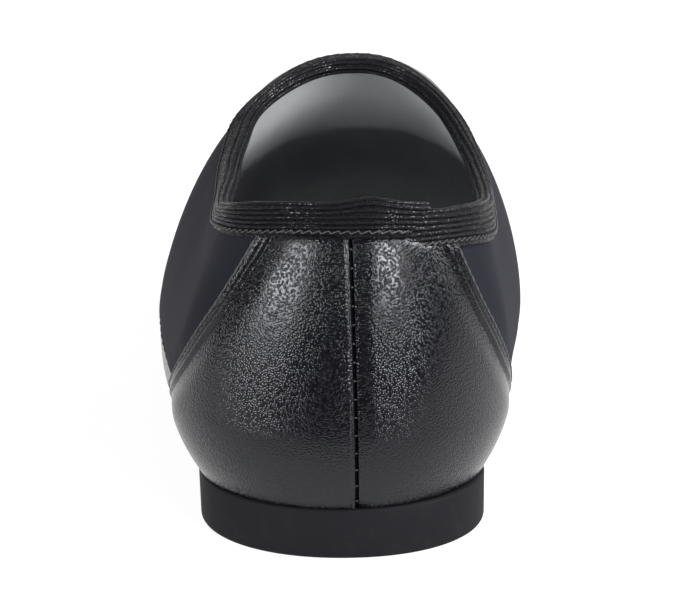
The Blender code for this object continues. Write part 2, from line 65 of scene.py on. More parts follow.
# %% Sizes of the last
LENGTH = 250.0
BALL_WIDTH = 82.5
INSTEP_HEIGHT = 79.4
HEEL_SEAT = 10.3
BALL_SEAT = 3.3
TOE_SEAT = 3.8
TOE_RIDGE = 0.572
TOE_SPRING = 4.0
WALL = 1.5
HEEL_MIDDLE_X = 0.2
HEEL_BACK_Y = 1.4
heel_low, heel_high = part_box("heel")
SHIFT = np.array([
    (heel_low[0] + heel_high[0]) / 2 / MM - HEEL_MIDDLE_X,
    heel_low[1] / MM - HEEL_BACK_Y,
    0.0,
])
SECTION_COLUMNS = (
    "place", "axis", "sole_l", "sole_m", "girth_l", "girth_m", "bottom", "girth_z",
    "ridge_z", "lean", "ridge_x", "crown_l", "crown_m", "flank_l", "flank_m",
)
SECTIONS = np.array((
    (0.124, 0.000, 0.331, 0.331, 0.408, 0.405, HEEL_SEAT, 0.325, 1.010, 0.000, 0.048, 1.75, 1.75, 2.0, 2.0),
    (0.220, 0.013, 0.358, 0.339, 0.436, 0.43, HEEL_SEAT, 0.345, 1.0, 0.012, 0.048, 1.85, 1.85, 1.75, 1.8),
    (0.320, 0.025, 0.406, 0.349, 0.464, 0.458, 8.5, 0.340, 1.005, 0.040, 0.041, 2.20, 2.00, 1.62, 1.65),
    (0.420, 0.039, 0.458, 0.370, 0.485, 0.473, 6.5, 0.315, 1.010, 0.072, 0.032, 2.60, 2.20, 1.52, 1.52),
    (0.520, 0.052, 0.468, 0.400, 0.487, 0.465, 4.5, 0.245, 1.000, 0.100, 0.028, 2.50, 2.20, 1.32, 1.50),
    (0.620, 0.065, 0.467, 0.442, 0.495, 0.473, BALL_SEAT, 0.225, 0.825, 0.088, 0.032, 2.0, 2.0, 1.5, 1.6),
    (0.712, 0.092, 0.436, 0.436, 0.470, 0.468, BALL_SEAT, 0.205, 0.675, 0.060, 0.030, 2.1, 2.1, 1.8, 1.8),
    (0.8, 0.131, 0.394, 0.394, 0.432, 0.432, TOE_SEAT, 0.19, TOE_RIDGE, 0.024, 0.012, 2.2, 2.2, 2.0, 2.0),
))
COLUMN_UNITS = {
    "place": LENGTH, "lean": LENGTH, "bottom": 1.0, "girth_z": INSTEP_HEIGHT,
    "ridge_z": INSTEP_HEIGHT, "crown_l": 1.0, "crown_m": 1.0, "flank_l": 1.0, "flank_m": 1.0,
}
FAN_COLUMNS = ("sole", "girth", "bottom", "girth_z", "ridge_z", "crown", "flank", "power")
HEEL_BACK = dict(zip(FAN_COLUMNS, (27.5, 31.0, HEEL_SEAT, 26.0, 92.0, 2.2, 2.0, 2.1)))
TOE_TIP = dict(zip(FAN_COLUMNS, (
    47.0, 50.0, TOE_SEAT + TOE_SPRING, 17.5, TOE_RIDGE * INSTEP_HEIGHT, 2.2, 2.2, 2.3,
)))
HEEL_ARC = 48.0
TOE_ARC = 64.0
SIDE_CURVE = 1.8
COLLAR_LINE = np.array([
    (0.0, 70.3), (6.0, 70.0), (10.0, 69.1), (16.0, 67.2), (25.0, 65.0),
    (40.0, 63.0), (60.0, 65.0), (80.0, 70.5), (95.0, 77.0), (104.0, 82.0), (114.0, 88.0),
])
FLARE = 3.3
FLARE_DEPTH = 14.0
FLARE_LIMIT = 1.3
FLARE_STARTS = (6.0, 26.0)
FLARE_ENDS = (40.0, 100.0)
HEEL_PIVOT = SECTIONS[0][0] * LENGTH
TOE_PIVOT = SECTIONS[-1][0] * LENGTH
SIDE_END = HEEL_ARC + TOE_PIVOT - HEEL_PIVOT
TIP = SIDE_END + TOE_ARC
print("shift to the frame in mm:", SHIFT.round(3))


# %% Smooth curves through the table
def smooth_curve(places, values):
    """A curve through the points that never overshoots them."""
    steps = np.diff(places)
    slopes = np.diff(values) / steps
    tangents = np.concatenate([slopes[:1], np.zeros(len(slopes) - 1), slopes[-1:]])
    for i in range(1, len(slopes)):
        before, after = slopes[i - 1], slopes[i]
        if before * after > 0:
            near = 2 * steps[i] + steps[i - 1]
            far = steps[i] + 2 * steps[i - 1]
            tangents[i] = (near + far) / (near / before + far / after)

    def curve(x):
        x = np.clip(x, places[0], places[-1])
        i = np.clip(np.searchsorted(places, x) - 1, 0, len(steps) - 1)
        t = (x - places[i]) / steps[i]
        start = (1 + 2 * t) * (1 - t) ** 2 * values[i] + t * (1 - t) ** 2 * steps[i] * tangents[i]
        end = t * t * (3 - 2 * t) * values[i + 1] + t * t * (t - 1) * steps[i] * tangents[i + 1]
        return start + end

    return curve


def smooth_step(x, start, end):
    t = np.clip((x - start) / (end - start), 0.0, 1.0)
    return t * t * (3 - 2 * t)


CURVES = {
    name: smooth_curve(SECTIONS[:, 0] * LENGTH, SECTIONS[:, i] * COLUMN_UNITS.get(name, BALL_WIDTH))
    for i, name in enumerate(SECTION_COLUMNS)
}
COLLAR_HEIGHT = smooth_curve(COLLAR_LINE[:, 0], COLLAR_LINE[:, 1])


def slope_of(name, place):
    """How fast a column changes, just inside the table's ends."""
    reach = 0.5
    ahead = min(place + reach, TOE_PIVOT)
    behind = max(place - reach, HEEL_PIVOT)
    return float(CURVES[name](ahead) - CURVES[name](behind)) / (ahead - behind)


print(len(CURVES), "curves through", len(SECTIONS), "sections")


# %% [markdown]
# ## One surface for all pieces
#
# Two numbers name a place on the upper. The walk runs along the sole's edge from the back of the
# heel to the toe, negative on the lateral side. The share runs up the wall from the sole's edge to
# the collar, or to the top line ahead of the throat. Points and normals are worked out once on a
# grid, and a cubic blend between grid points keeps the reflections smooth.

# %% Sections and wall lines
def sections_at(side, walks):
    """The last's sections at these walks, as arrays by column."""
    letter = "l" if side == LATERAL else "m"
    place = HEEL_PIVOT + np.clip(walks - HEEL_ARC, 0.0, TOE_PIVOT - HEEL_PIVOT)
    rows = {name: CURVES[name](place) for name in SECTION_COLUMNS}
    for name in ("sole", "girth", "crown", "flank"):
        rows[name] = rows[f"{name}_{letter}"]
    rows["out_x"] = np.full(len(walks), float(side))
    rows["out_y"] = np.zeros(len(walks))
    rows["drop"] = np.zeros(len(walks))
    heel_share = np.clip(1 - walks / HEEL_ARC, 0.0, 1.0)
    toe_share = np.clip((walks - SIDE_END) / TOE_ARC, 0.0, 1.0)
    for tip, share, forward, pivot in (
        (HEEL_BACK, heel_share, -1, HEEL_PIVOT), (TOE_TIP, toe_share, 1, TOE_PIVOT),
    ):
        across = np.cos(share * math.pi / 2)
        along = np.sin(share * math.pi / 2)
        for name in ("sole", "girth"):
            slope = slope_of(f"{name}_{letter}", pivot) + side * slope_of("axis", pivot)
            reach = (across / rows[name]) ** tip["power"] + (along / tip[name]) ** tip["power"]
            rows[name] = reach ** (-1 / tip["power"]) * (1 + forward * slope * along * across**2)
        for name in ("bottom", "girth_z", "ridge_z", "crown", "flank"):
            rows[name] = rows[name] + (tip[name] - rows[name]) * along**2
        rows["out_x"] = rows["out_x"] * across
        rows["out_y"] = rows["out_y"] + forward * along
        if forward > 0:
            fall = -slope_of("ridge_z", pivot) / (1 - slope_of("lean", pivot))
            rows["drop"] = fall * along * rows["girth"] / (rows["ridge_z"] - rows["girth_z"])
    return rows


def wall_lines(side, walks):
    """Lines of points up the outside, one for each walk, from the sole's edge to the top line."""
    tuck_points, turn_points = 30, 90
    rows = {name: values[:, None] for name, values in sections_at(side, walks).items()}
    rise = rows["ridge_z"] - rows["girth_z"]
    tuck = np.linspace(1.0, 0.0, tuck_points, endpoint=False)[None]
    turn = np.linspace(0.0, math.pi / 2, turn_points)[None]
    inward = np.cos(turn).clip(0.0) ** (2 / rows["crown"])
    upward = np.sin(turn) ** (2 / rows["flank"])
    z = np.hstack([
        rows["girth_z"] - (rows["girth_z"] - rows["bottom"]) * tuck,
        rows["girth_z"] + rise * upward * (1 - rows["drop"] * inward),
    ])
    reach = np.hstack([
        rows["girth"] - (rows["girth"] - rows["sole"]) * tuck**SIDE_CURVE,
        rows["girth"] * inward,
    ])
    height = (z - rows["bottom"]) / (rows["ridge_z"] - rows["bottom"])
    y = rows["place"] + rows["out_y"] * reach - rows["lean"] * height
    near_collar = np.clip(1 - (COLLAR_HEIGHT(y) - z) / FLARE_DEPTH, 0.0, FLARE_LIMIT)
    opened = smooth_step(y, *FLARE_STARTS) - smooth_step(y, *FLARE_ENDS)
    reach = reach + FLARE * near_collar**2 * opened
    x = rows["axis"] + rows["out_x"] * reach
    x = x + rows["ridge_x"] * np.clip((z - rows["girth_z"]) / rise, 0, 1)
    y = rows["place"] + rows["out_y"] * reach - rows["lean"] * height
    return np.stack([x, y, z], axis=2)


def rim_grid(side, walks, shares):
    """Points at the given shares of each wall line, up to the collar or to the top line."""
    lines = wall_lines(side, walks)
    lengths = np.linalg.norm(np.diff(lines, axis=1), axis=2).cumsum(axis=1)
    lengths = np.hstack([np.zeros((len(walks), 1)), lengths])
    over = lines[:, :, 2] - COLLAR_HEIGHT(lines[:, :, 1])
    grid = np.empty((len(walks), len(shares), 3))
    for i, line in enumerate(lines):
        total = lengths[i, -1]
        above = np.nonzero(over[i] > 0)[0]
        if len(above):
            j = above[0]
            part = over[i, j - 1] / (over[i, j - 1] - over[i, j])
            total = lengths[i, j - 1] + part * (lengths[i, j] - lengths[i, j - 1])
        for axis in range(3):
            grid[i, :, axis] = np.interp(shares * total, lengths[i], line[:, axis])
    return grid


def find_throat():
    """The walk where the top line meets the collar, by halving."""
    halvings = 50
    low, high = HEEL_ARC, SIDE_END
    for _ in range(halvings):
        middle = (low + high) / 2
        top = wall_lines(LATERAL, np.array([middle]))[0, -1]
        low, high = (middle, high) if top[2] > COLLAR_HEIGHT(top[1]) else (low, middle)
    return low


THROAT = find_throat()
print("throat at walk", round(THROAT, 2))

# %% The grid and its smooth lookup
WALK_STEPS = 400
SHARE_STEPS = 150
even_walks = np.linspace(0.0, TIP, WALK_STEPS + 1)
even_shares = np.linspace(0.0, 1.0, SHARE_STEPS + 1)
lateral_grid = rim_grid(LATERAL, even_walks, even_shares)
medial_grid = rim_grid(MEDIAL, even_walks, even_shares)
OUTSIDE = np.concatenate([lateral_grid[:0:-1], medial_grid])


def grid_normals(grid):
    """Outward directions on the grid. Both sides share theirs along the top line."""
    normals = np.cross(np.gradient(grid, axis=0), np.gradient(grid, axis=1))
    length = np.linalg.norm(normals, axis=2, keepdims=True)
    smallest = 1e-9
    normals = normals / np.maximum(length, smallest)
    last = len(grid) - 1
    throat_step = int(math.ceil(THROAT / TIP * WALK_STEPS))
    toe_step = int(SIDE_END / TIP * WALK_STEPS) - 1
    for step in range(throat_step, WALK_STEPS + 1):
        left, right = WALK_STEPS - step, WALK_STEPS + step
        both = normals[left, -2] + normals[right, -2]
        normals[left, -1] = normals[right, -1] = both / np.linalg.norm(both)
    crown = normals[WALK_STEPS + toe_step, -1]
    normals[: WALK_STEPS - toe_step, -1] = crown
    normals[WALK_STEPS + toe_step:, -1] = crown
    ends = normals[0] + normals[last]
    normals[0] = normals[last] = ends / np.linalg.norm(ends, axis=1, keepdims=True)
    return normals


def framed(grid):
    """The grid with one more row or column, in line, on each side."""
    for axis in (0, 1):
        first, second = np.take(grid, [0], axis), np.take(grid, [1], axis)
        last, before = np.take(grid, [-1], axis), np.take(grid, [-2], axis)
        grid = np.concatenate([2 * first - second, grid, 2 * last - before], axis=axis)
    return grid


OUTSIDE_FRAMED = framed(OUTSIDE)
NORMALS_FRAMED = framed(grid_normals(OUTSIDE))


def cubic_weights(t):
    """Shares of four neighbours in a smooth curve through them."""
    return (
        0.5 * (-t + 2 * t**2 - t**3), 0.5 * (2 - 5 * t**2 + 3 * t**3),
        0.5 * (t + 4 * t**2 - 3 * t**3), 0.5 * (t**3 - t**2),
    )


def looked_up(grid, walk, share):
    """Values between the grid's points, blended by cubics both ways."""
    across = (np.asarray(walk, float) / TIP + 1) * WALK_STEPS
    up = np.asarray(share, float) * SHARE_STEPS
    across, up = np.broadcast_arrays(across, up)
    i = np.clip(np.floor(across).astype(int), 0, 2 * WALK_STEPS - 1)
    j = np.clip(np.floor(up).astype(int), 0, SHARE_STEPS - 1)
    across_weights = cubic_weights(across - i)
    up_weights = cubic_weights(up - j)
    total = np.zeros((*across.shape, 3))
    for a in range(4):
        for b in range(4):
            total += (across_weights[a] * up_weights[b])[..., None] * grid[i + a, j + b]
    return total


def on_upper(walk, share, lift=0.0):
    """Points on the upper's outside, lifted outwards by so many millimetres."""
    points = looked_up(OUTSIDE_FRAMED, walk, share)
    normals = looked_up(NORMALS_FRAMED, walk, share)
    normals = normals / np.linalg.norm(normals, axis=-1, keepdims=True)
    return points + normals * np.asarray(lift)[..., None]


print("surface grid:", OUTSIDE.shape[:2], "points")

# %% [markdown]
# ## Shader maths as Python
#
# A material is a graph of nodes. A small wrapper round a socket lets ordinary operators add the
# Math nodes, and one method makes any other node, so that a finish reads as a formula. Patterns read
# Object coordinates, in metres, so a scale is one over the real size of a grain.

# %% The wrapper and the material maker
class Strand:
    """A node's output that works in Python expressions."""

    def __init__(self, finish, socket):
        self.finish = finish
        self.socket = socket

    def maths(self, operation, first, second):
        return self.finish.node("ShaderNodeMath", {"operation": operation}, {0: first, 1: second})

    def __add__(self, other):
        return self.maths("ADD", self, other)

    def __radd__(self, other):
        return self.maths("ADD", other, self)

    def __sub__(self, other):
        return self.maths("SUBTRACT", self, other)

    def __rsub__(self, other):
        return self.maths("SUBTRACT", other, self)

    def __mul__(self, other):
        return self.maths("MULTIPLY", self, other)

    def __rmul__(self, other):
        return self.maths("MULTIPLY", other, self)


class Finish:
    """One material, built node by node."""

    def __init__(self, name, **constants):
        self.material = bpy.data.materials.new(name)
        self.material.use_nodes = True
        self.tree = self.material.node_tree
        self.shader = self.tree.nodes["Principled BSDF"]
        for socket, value in constants.items():
            self.shader.inputs[socket.replace("_", " ")].default_value = value
        self.place = self.node("ShaderNodeTexCoord", {}, {}, "Object")

    def node(self, kind, settings, sockets, output=0):
        """Adds a node, its settings first, then the values or links of its sockets."""
        made = self.tree.nodes.new(kind)
        for name, value in settings.items():
            setattr(made, name, value)
        for name, value in sockets.items():
            if isinstance(value, Strand):
                self.tree.links.new(value.socket, made.inputs[name])
            else:
                made.inputs[name].default_value = value
        return Strand(self, made.outputs[output])

    def feed(self, socket, strand):
        self.tree.links.new(strand.socket, self.shader.inputs[socket])

    def noise(self, size, detail=2.0, roughness=0.5):
        """Cloudy values from 0 to 1 with spots of about this size in millimetres."""
        return self.node("ShaderNodeTexNoise", {}, {
            "Vector": self.place, "Scale": 1 / (size * MM), "Detail": detail, "Roughness": roughness,
        })

    def pebbles(self, size, randomness=1.0):
        """Distance from the middle of the nearest grain, for grains of this size in millimetres."""
        return self.node("ShaderNodeTexVoronoi", {"feature": "F1"}, {
            "Vector": self.place, "Scale": 1 / (size * MM), "Randomness": randomness,
        })

    def blend(self, share, first, second):
        """A colour between two. The Mix node keeps its colour sockets after its other ones."""
        first_socket, second_socket, result_socket = 6, 7, 2
        return self.node("ShaderNodeMix", {"data_type": "RGBA"}, {
            "Factor": share, first_socket: (*first, 1.0), second_socket: (*second, 1.0),
        }, result_socket)

    def remap(self, strand, low, high, to_low=0.0, to_high=1.0):
        """The strand stretched from one range to another, and held at its ends."""
        return self.node("ShaderNodeMapRange", {}, {
            "Value": strand, "From Min": low, "From Max": high, "To Min": to_low, "To Max": to_high,
        })

    def bump(self, height, depth, strength=1.0):
        """Relief from a height of 0 to 1, its depth in millimetres."""
        return self.node("ShaderNodeBump", {}, {
            "Height": height, "Distance": depth * MM, "Strength": strength,
        })

    def done(self):
        print(f"{self.material.name}: {len(self.tree.nodes)} nodes")
        return self.material


# %% [markdown]
# ## Black leather
#
# The quarters and the vamp are thin black leather with a fine pebbled grain. The grain sparkles
# where a light is mirrored, and worn places are a little duller. Modelling each pebble would take
# millions of faces. A Voronoi texture gives one cell for each pebble, and it drives the colour, the
# roughness and a bump together, so that light and relief agree.

# %% Leather
def make_leather():
    finish = Finish("black_leather", Specular_IOR_Level=0.39, Specular_Tint=(0.93, 0.95, 1.0, 1.0))
    grain = finish.pebbles(0.45)
    fine = finish.noise(0.3, 3.0, 0.6)
    cloud = finish.noise(14.0, 2.0)
    worn = finish.remap(cloud, 0.35, 0.7)
    pore = finish.remap(grain, 0.15, 0.62)
    shade = pore * 0.8 + worn * 0.2
    finish.feed("Base Color", finish.blend(shade, (0.005, 0.005, 0.007), (0.002, 0.002, 0.003)))
    finish.feed("Roughness", 0.14 + 0.06 * pore + 0.03 * worn)
    relief = (1.0 - pore) * 0.8 + fine * 0.2
    finish.feed("Normal", finish.bump(relief, 0.07, 1.0))
    return finish.done()


LEATHER = make_leather()


# %% [markdown]
# ## Stretch fabric and lining
#
# The gussets between the panels are a smooth, matte stretch fabric, black with a blue cast. Its
# threads are too fine to see, so a soft noise stands for them, with hardly any gloss. Inside, the
# shoe is lined with grey knitted cloth. Evenly placed Voronoi cells make its loops. The sock on the
# insole is the same cloth in a darker grey, which is painted shade for the floor deep inside the shoe.

# %% Stretch fabric
def make_stretch():
    finish = Finish("stretch_fabric", Specular_IOR_Level=0.03)
    weave = finish.noise(0.35, 2.0)
    cloud = finish.noise(18.0, 2.0)
    finish.feed("Base Color", finish.blend(cloud, (0.0115, 0.0115, 0.0165), (0.015, 0.015, 0.021)))
    finish.feed("Roughness", 0.62 + 0.12 * weave)
    finish.feed("Normal", finish.bump(weave, 0.03, 0.6))
    return finish.done()


STRETCH = make_stretch()


# %% Lining cloth
def make_lining(name, dark, light):
    finish = Finish(name, Specular_IOR_Level=0.2)
    knit = finish.pebbles(0.7, 0.35)
    cloud = finish.noise(12.0, 3.0)
    finish.feed("Base Color", finish.blend(cloud * 0.7 + knit * 0.3, dark, light))
    finish.feed("Roughness", 0.82 + 0.1 * cloud)
    finish.feed("Normal", finish.bump(knit, 0.10, 0.7))
    return finish.done()


LINING = make_lining("grey_lining", (0.70, 0.71, 0.72), (0.80, 0.81, 0.82))
# The sock is the lining's cloth made darker: painted shade on the insole, deep inside the shoe.
SHADED_SOCK = make_lining("grey_sock_painted_shade", (0.11, 0.11, 0.115), (0.16, 0.16, 0.165))


# %% [markdown]
# ## Elastic, thread and rubber
#
# The binding is knitted elastic: dark loops with small glints on their tops. A clear coat that is
# strong only in the middle of each loop gives the glints and leaves the gaps black. The thread is
# twisted, so a fine noise breaks up its shine. The heel is dull moulded rubber with faint scuffs.

# %% Elastic, thread and rubber
def make_elastic():
    finish = Finish("ribbed_elastic", Specular_IOR_Level=0.1, Coat_IOR=1.6, Coat_Roughness=0.2)
    knit = finish.pebbles(0.5, 0.8)
    cloud = finish.noise(6.0, 2.0)
    shade = cloud * 0.5 + knit * 0.5
    finish.feed("Base Color", finish.blend(shade, (0.007, 0.007, 0.009), (0.002, 0.002, 0.003)))
    finish.feed("Roughness", 0.40 + 0.25 * knit)
    finish.feed("Coat Weight", finish.remap(knit, 0.14, 0.4, 1.0, 0.0))
    finish.feed("Normal", finish.bump(1.0 - knit, 0.22, 1.0))
    return finish.done()


def make_thread():
    finish = Finish("black_thread", Specular_IOR_Level=0.3)
    ply = finish.noise(0.25, 1.0)
    finish.feed("Base Color", finish.blend(ply, (0.025, 0.025, 0.028), (0.080, 0.080, 0.086)))
    finish.feed("Roughness", 0.38 + 0.2 * ply)
    finish.feed("Normal", finish.bump(ply, 0.06, 0.8))
    return finish.done()


def make_rubber():
    finish = Finish("heel_rubber", Specular_IOR_Level=0.1)
    speck = finish.noise(0.5, 3.0, 0.65)
    scuff = finish.remap(finish.noise(7.0, 4.0, 0.7), 0.52, 0.72)
    finish.feed("Base Color", finish.blend(scuff, (0.007, 0.007, 0.009), (0.0105, 0.0105, 0.0125)))
    finish.feed("Roughness", 0.60 + 0.2 * speck + 0.1 * scuff)
    finish.feed("Normal", finish.bump(speck * 0.7 + scuff * 0.3, 0.10, 0.8))
    return finish.done()


ELASTIC = make_elastic()
THREAD = make_thread()
RUBBER = make_rubber()


# %% [markdown]
# ## Meshes from grids of points
#
# Most pieces are sheets that follow the last, so each is a grid of points worked out in numbers.
# One helper turns a grid into a mesh in the frame's metres. Solidify gives a sheet its thickness.
# Another helper registers a finished piece: it rides on the body and stands for its CAD node.

# %% Grid helpers
def grid_faces(rows, columns, first=0):
    """Four-cornered faces between the points of a grid, stored row by row."""
    faces = []
    for i in range(rows - 1):
        for j in range(columns - 1):
            here = first + i * columns + j
            faces.append((here, here + 1, here + columns + 1, here + columns))
    return faces


def mesh_of(name, points, faces, recalculate=False):
    """A smooth mesh in metres in the frame, with coincident points joined."""
    join_distance = 0.004
    mesh = bpy.data.meshes.new(name)
    placed = (np.asarray(points).reshape(-1, 3) + SHIFT) * MM
    mesh.from_pydata(placed.tolist(), [], faces)
    work = bmesh.new()
    work.from_mesh(mesh)
    bmesh.ops.remove_doubles(work, verts=work.verts, dist=join_distance * MM)
    bmesh.ops.dissolve_degenerate(work, edges=work.edges, dist=join_distance * MM)
    if recalculate:
        bmesh.ops.recalc_face_normals(work, faces=work.faces)
    work.to_mesh(mesh)
    work.free()
    mesh.shade_smooth()
    return mesh


def new_piece(name, mesh, *materials):
    piece = bpy.data.objects.new(name, mesh)
    bpy.context.scene.collection.objects.link(piece)
    for material in materials:
        mesh.materials.append(material)
    return piece


def settle(piece):
    """Turns a piece's modifiers into plain mesh."""
    graph = bpy.context.evaluated_depsgraph_get()
    plain = bpy.data.meshes.new_from_object(piece.evaluated_get(graph))
    piece.modifiers.clear()
    piece.data = plain
    return piece


def register(piece, slot, *nodes):
    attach(piece, "root")
    if nodes:
        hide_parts(*nodes)
    piece.data.calc_loop_triangles()
    print(f"{piece.name}: {len(piece.data.loop_triangles)} triangles")


def thicken(piece, thickness, inner_slot=0):
    """Gives a sheet its thickness inwards, with another finish inside if asked."""
    wall = piece.modifiers.new("wall", "SOLIDIFY")
    wall.thickness = thickness * MM
    wall.offset = -1.0
    wall.use_even_offset = False
    wall.use_quality_normals = True
    wall.material_offset = inner_slot
    return settle(piece)


# %% [markdown]
# ## Where the panels' edges run
#
# The edges of the leather panels are drawn in side view, as distance from the heel's back and
# height, and then found on the upper's wall. A pattern maker draws them that way too, and both
# sides of the shoe can share a drawing.

# %% Panel edges
EDGE_FOOT = 80.0
FOOT_GAP = 0.6
QUARTER_EDGE = np.array([
    (14.1, 68.0), (14.5, 62.0), (15.4, 56.0), (17.2, 49.0), (20.0, 43.4), (23.5, 38.0), (31.0, 31.0),
    (55.0, 20.0), (EDGE_FOOT, 13.0), (EDGE_FOOT, 4.0),
])
VAMP_EDGE = np.array([
    (98.0, 71.0), (107.5, 61.5), (115.5, 52.0), (119.5, 43.5), (118.0, 36.5), (112.0, 30.8),
    (102.0, 25.4), (92.0, 20.3), (84.0, 15.2),
    (EDGE_FOOT + FOOT_GAP, 12.5), (EDGE_FOOT + FOOT_GAP, 4.0),
])
SEAM_AT_SOLE = 1.9
SEAM_LEAN = -0.020
SEAM_SEARCH = 8.0
EDGE_STEPS = 200
SEARCH_STEPS = 500
SEAM_STEPS = 120


def lengths_along(line):
    return np.concatenate([[0.0], np.cumsum(np.linalg.norm(np.diff(line, axis=0), axis=1))])


def side_view(edge):
    """Distance from the heel's back as a function of height, along a smooth edge."""
    lengths = lengths_along(edge)
    at = np.linspace(0.0, lengths[-1], EDGE_STEPS)
    places, heights = (smooth_curve(lengths, edge[:, i])(at) for i in range(2))
    order = np.argsort(heights, kind="stable")
    return lambda z: np.interp(z, heights[order], places[order])


def crossing(values, walks):
    """The walk where a row of values first turns positive."""
    i = max(int(np.argmax(values > 0)), 1)
    share = values[i - 1] / (values[i - 1] - values[i])
    return walks[i - 1] + share * (walks[i] - walks[i - 1])


def edge_walks(side, edge, shares):
    """How far along the sole's edge a panel's edge lies, for each share."""
    place_at = side_view(edge)
    walks = np.linspace(0.0, SIDE_END, SEARCH_STEPS)
    found = []
    for share in shares:
        row = on_upper(side * walks, share)
        found.append(crossing(row[:, 1] - place_at(row[:, 2]), walks))
    return side * np.array(found)


def seam_walks(shares):
    """Where the seam up the back of the heel lies, for each share."""
    walks = np.linspace(-SEAM_SEARCH, SEAM_SEARCH, SEAM_STEPS)
    found = []
    for share in shares:
        row = on_upper(walks, share)
        found.append(crossing(row[:, 0] - SEAM_AT_SOLE - SEAM_LEAN * row[:, 2], walks))
    return np.array(found)


def distances(points, line):
    """How far each point is from a line of points."""
    tree = kdtree.KDTree(len(line))
    for i, spot in enumerate(line):
        tree.insert(spot, i)
    tree.balance()
    flat = points.reshape(-1, 3)
    return np.array([tree.find(spot)[2] for spot in flat]).reshape(points.shape[:-1])


def dense(line, gap=0.08):
    """The same line with points this close together."""
    lengths = lengths_along(line)
    at = np.arange(0.0, lengths[-1], gap)
    return np.column_stack([np.interp(at, lengths, line[:, i]) for i in range(3)])


def rounded(distance, radius):
    """0 at an edge, rising on a quarter circle to 1."""
    return np.sqrt(1 - (1 - np.clip(distance / radius, 0.0, 1.0)) ** 2)


def groove(distance, centre, width):
    """1 along the middle of a groove or roll, fading to 0 on both sides."""
    return np.exp(-(((distance - centre) / width) ** 2))


def crowded_ends(count, crowding):
    """Numbers from 0 to 1 that lie closer together towards both ends."""
    even = np.linspace(0.0, 1.0, count)
    return even - crowding * np.sin(2 * math.pi * even) / (2 * math.pi)


print("quarter edge in mm:", lengths_along(QUARTER_EDGE)[-1].round(1))
print("vamp edge in mm:", lengths_along(VAMP_EDGE)[-1].round(1))


# %% [markdown]
# ## The stretch upper and its lining
#
# The upper is one bag of stretch fabric: it shows between the leather panels and, as grey lining,
# inside. It could be cloth that is simulated over a foot, but the shoe stands empty and keeps the
# last's form, so the last's own grid is truer. The grid has a turned-in lasting margin below. It
# gets its wall by Solidify, which gives the inner faces the lining's finish. Between the panels the
# fabric swells a little, as it does where the leather no longer holds it in.

# %% Upper
LASTING_MARGIN = 11.0
HEEL_OPENING_FRONT = 54.0
SOLE_OPENING_BACK = 138.0
MARGIN_ROWS = 6
WALL_ROWS = 64
HEEL_COLUMNS = 120
TOE_COLUMNS = 110
THROAT_COLUMNS = 26
THROAT_REACH = 14.0
# The fabric's swell, and where it starts and ends: behind, ahead, above the sole, under the collar.
GUSSET_SWELL = 0.6
SWELL_BEHIND = (1.0, 10.0)
SWELL_AHEAD = (-4.0, 2.0)
SWELL_LOW = (0.12, 0.3)
SWELL_HIGH = (0.84, 0.93)


def underside_rows(side, walks, count):
    """The lasting margin from its inner edge out to the sole's edge, closed across the arch."""
    rows = sections_at(side, walks)
    shut = (rows["place"] > HEEL_OPENING_FRONT) & (rows["place"] < SOLE_OPENING_BACK)
    inner = np.where(shut, 0.0, rows["sole"] - LASTING_MARGIN)
    middle = CURVES["bottom"](rows["place"])
    shares = np.linspace(0.0, 1.0, count, endpoint=False)[None]
    reach = inner[:, None] + (rows["sole"] - inner)[:, None] * shares
    return np.stack([
        rows["axis"][:, None] + rows["out_x"][:, None] * reach,
        rows["place"][:, None] + rows["out_y"][:, None] * reach,
        middle[:, None] + (rows["bottom"] - middle)[:, None] * reach / rows["sole"][:, None],
    ], axis=2)


def gusset_swell(side, walks, shares):
    """How far the fabric stands out between the quarter's edge and the vamp's."""
    back = abs(edge_walks(side, QUARTER_EDGE, shares))
    front = abs(edge_walks(side, VAMP_EDGE, shares))
    inside = smooth_step(walks[:, None] - back[None], *SWELL_BEHIND)
    inside = inside * (1 - smooth_step(walks[:, None] - front[None], *SWELL_AHEAD))
    inside = inside * smooth_step(shares, *SWELL_LOW) * (1 - smooth_step(shares, *SWELL_HIGH))
    return GUSSET_SWELL * inside


def make_upper():
    crowd = THROAT - THROAT_REACH * np.linspace(1.0, 0.0, THROAT_COLUMNS) ** 2
    walks = np.concatenate([
        np.linspace(0.0, crowd[0], HEEL_COLUMNS, endpoint=False), crowd,
        np.linspace(THROAT, TIP, TOE_COLUMNS)[1:],
    ])
    shares = np.linspace(0.0, 1.0, WALL_ROWS)
    points, faces = [], []
    for side in (LATERAL, MEDIAL):
        swell = gusset_swell(side, walks, shares)
        all_walks = np.repeat(side * walks[:, None], WALL_ROWS, axis=1)
        all_shares = np.repeat(shares[None], len(walks), axis=0)
        push = on_upper(all_walks, all_shares, swell) - on_upper(all_walks, all_shares)
        grid = np.concatenate([
            underside_rows(side, walks, MARGIN_ROWS), rim_grid(side, walks, shares) + push,
        ], axis=1)
        new_faces = grid_faces(*grid.shape[:2], first=sum(len(part) for part in points))
        points.append(grid.reshape(-1, 3))
        faces += new_faces if side == LATERAL else [face[::-1] for face in new_faces]
    mesh = mesh_of("stretch_upper", np.vstack(points), faces)
    upper = new_piece("stretch_upper", mesh, STRETCH, LINING)
    thicken(upper, WALL, inner_slot=1)
    register(upper, "stretch", "upper")


make_upper()

# %% [markdown]
# ## The heel quarters
#
# Two leather quarters cup the heel and meet in a seam up the back. They lie on the stretch upper.
# A copy of the upper's faces could be pushed out, but its edges would be jagged. So each panel is a
# grid between its own edges, finer towards them, and its lift above the upper depends on how far a
# point is from an edge: it rises in a round from the cut edge, then runs over the sewn welt's two
# grooves. Under the collar's band it is pressed flat.

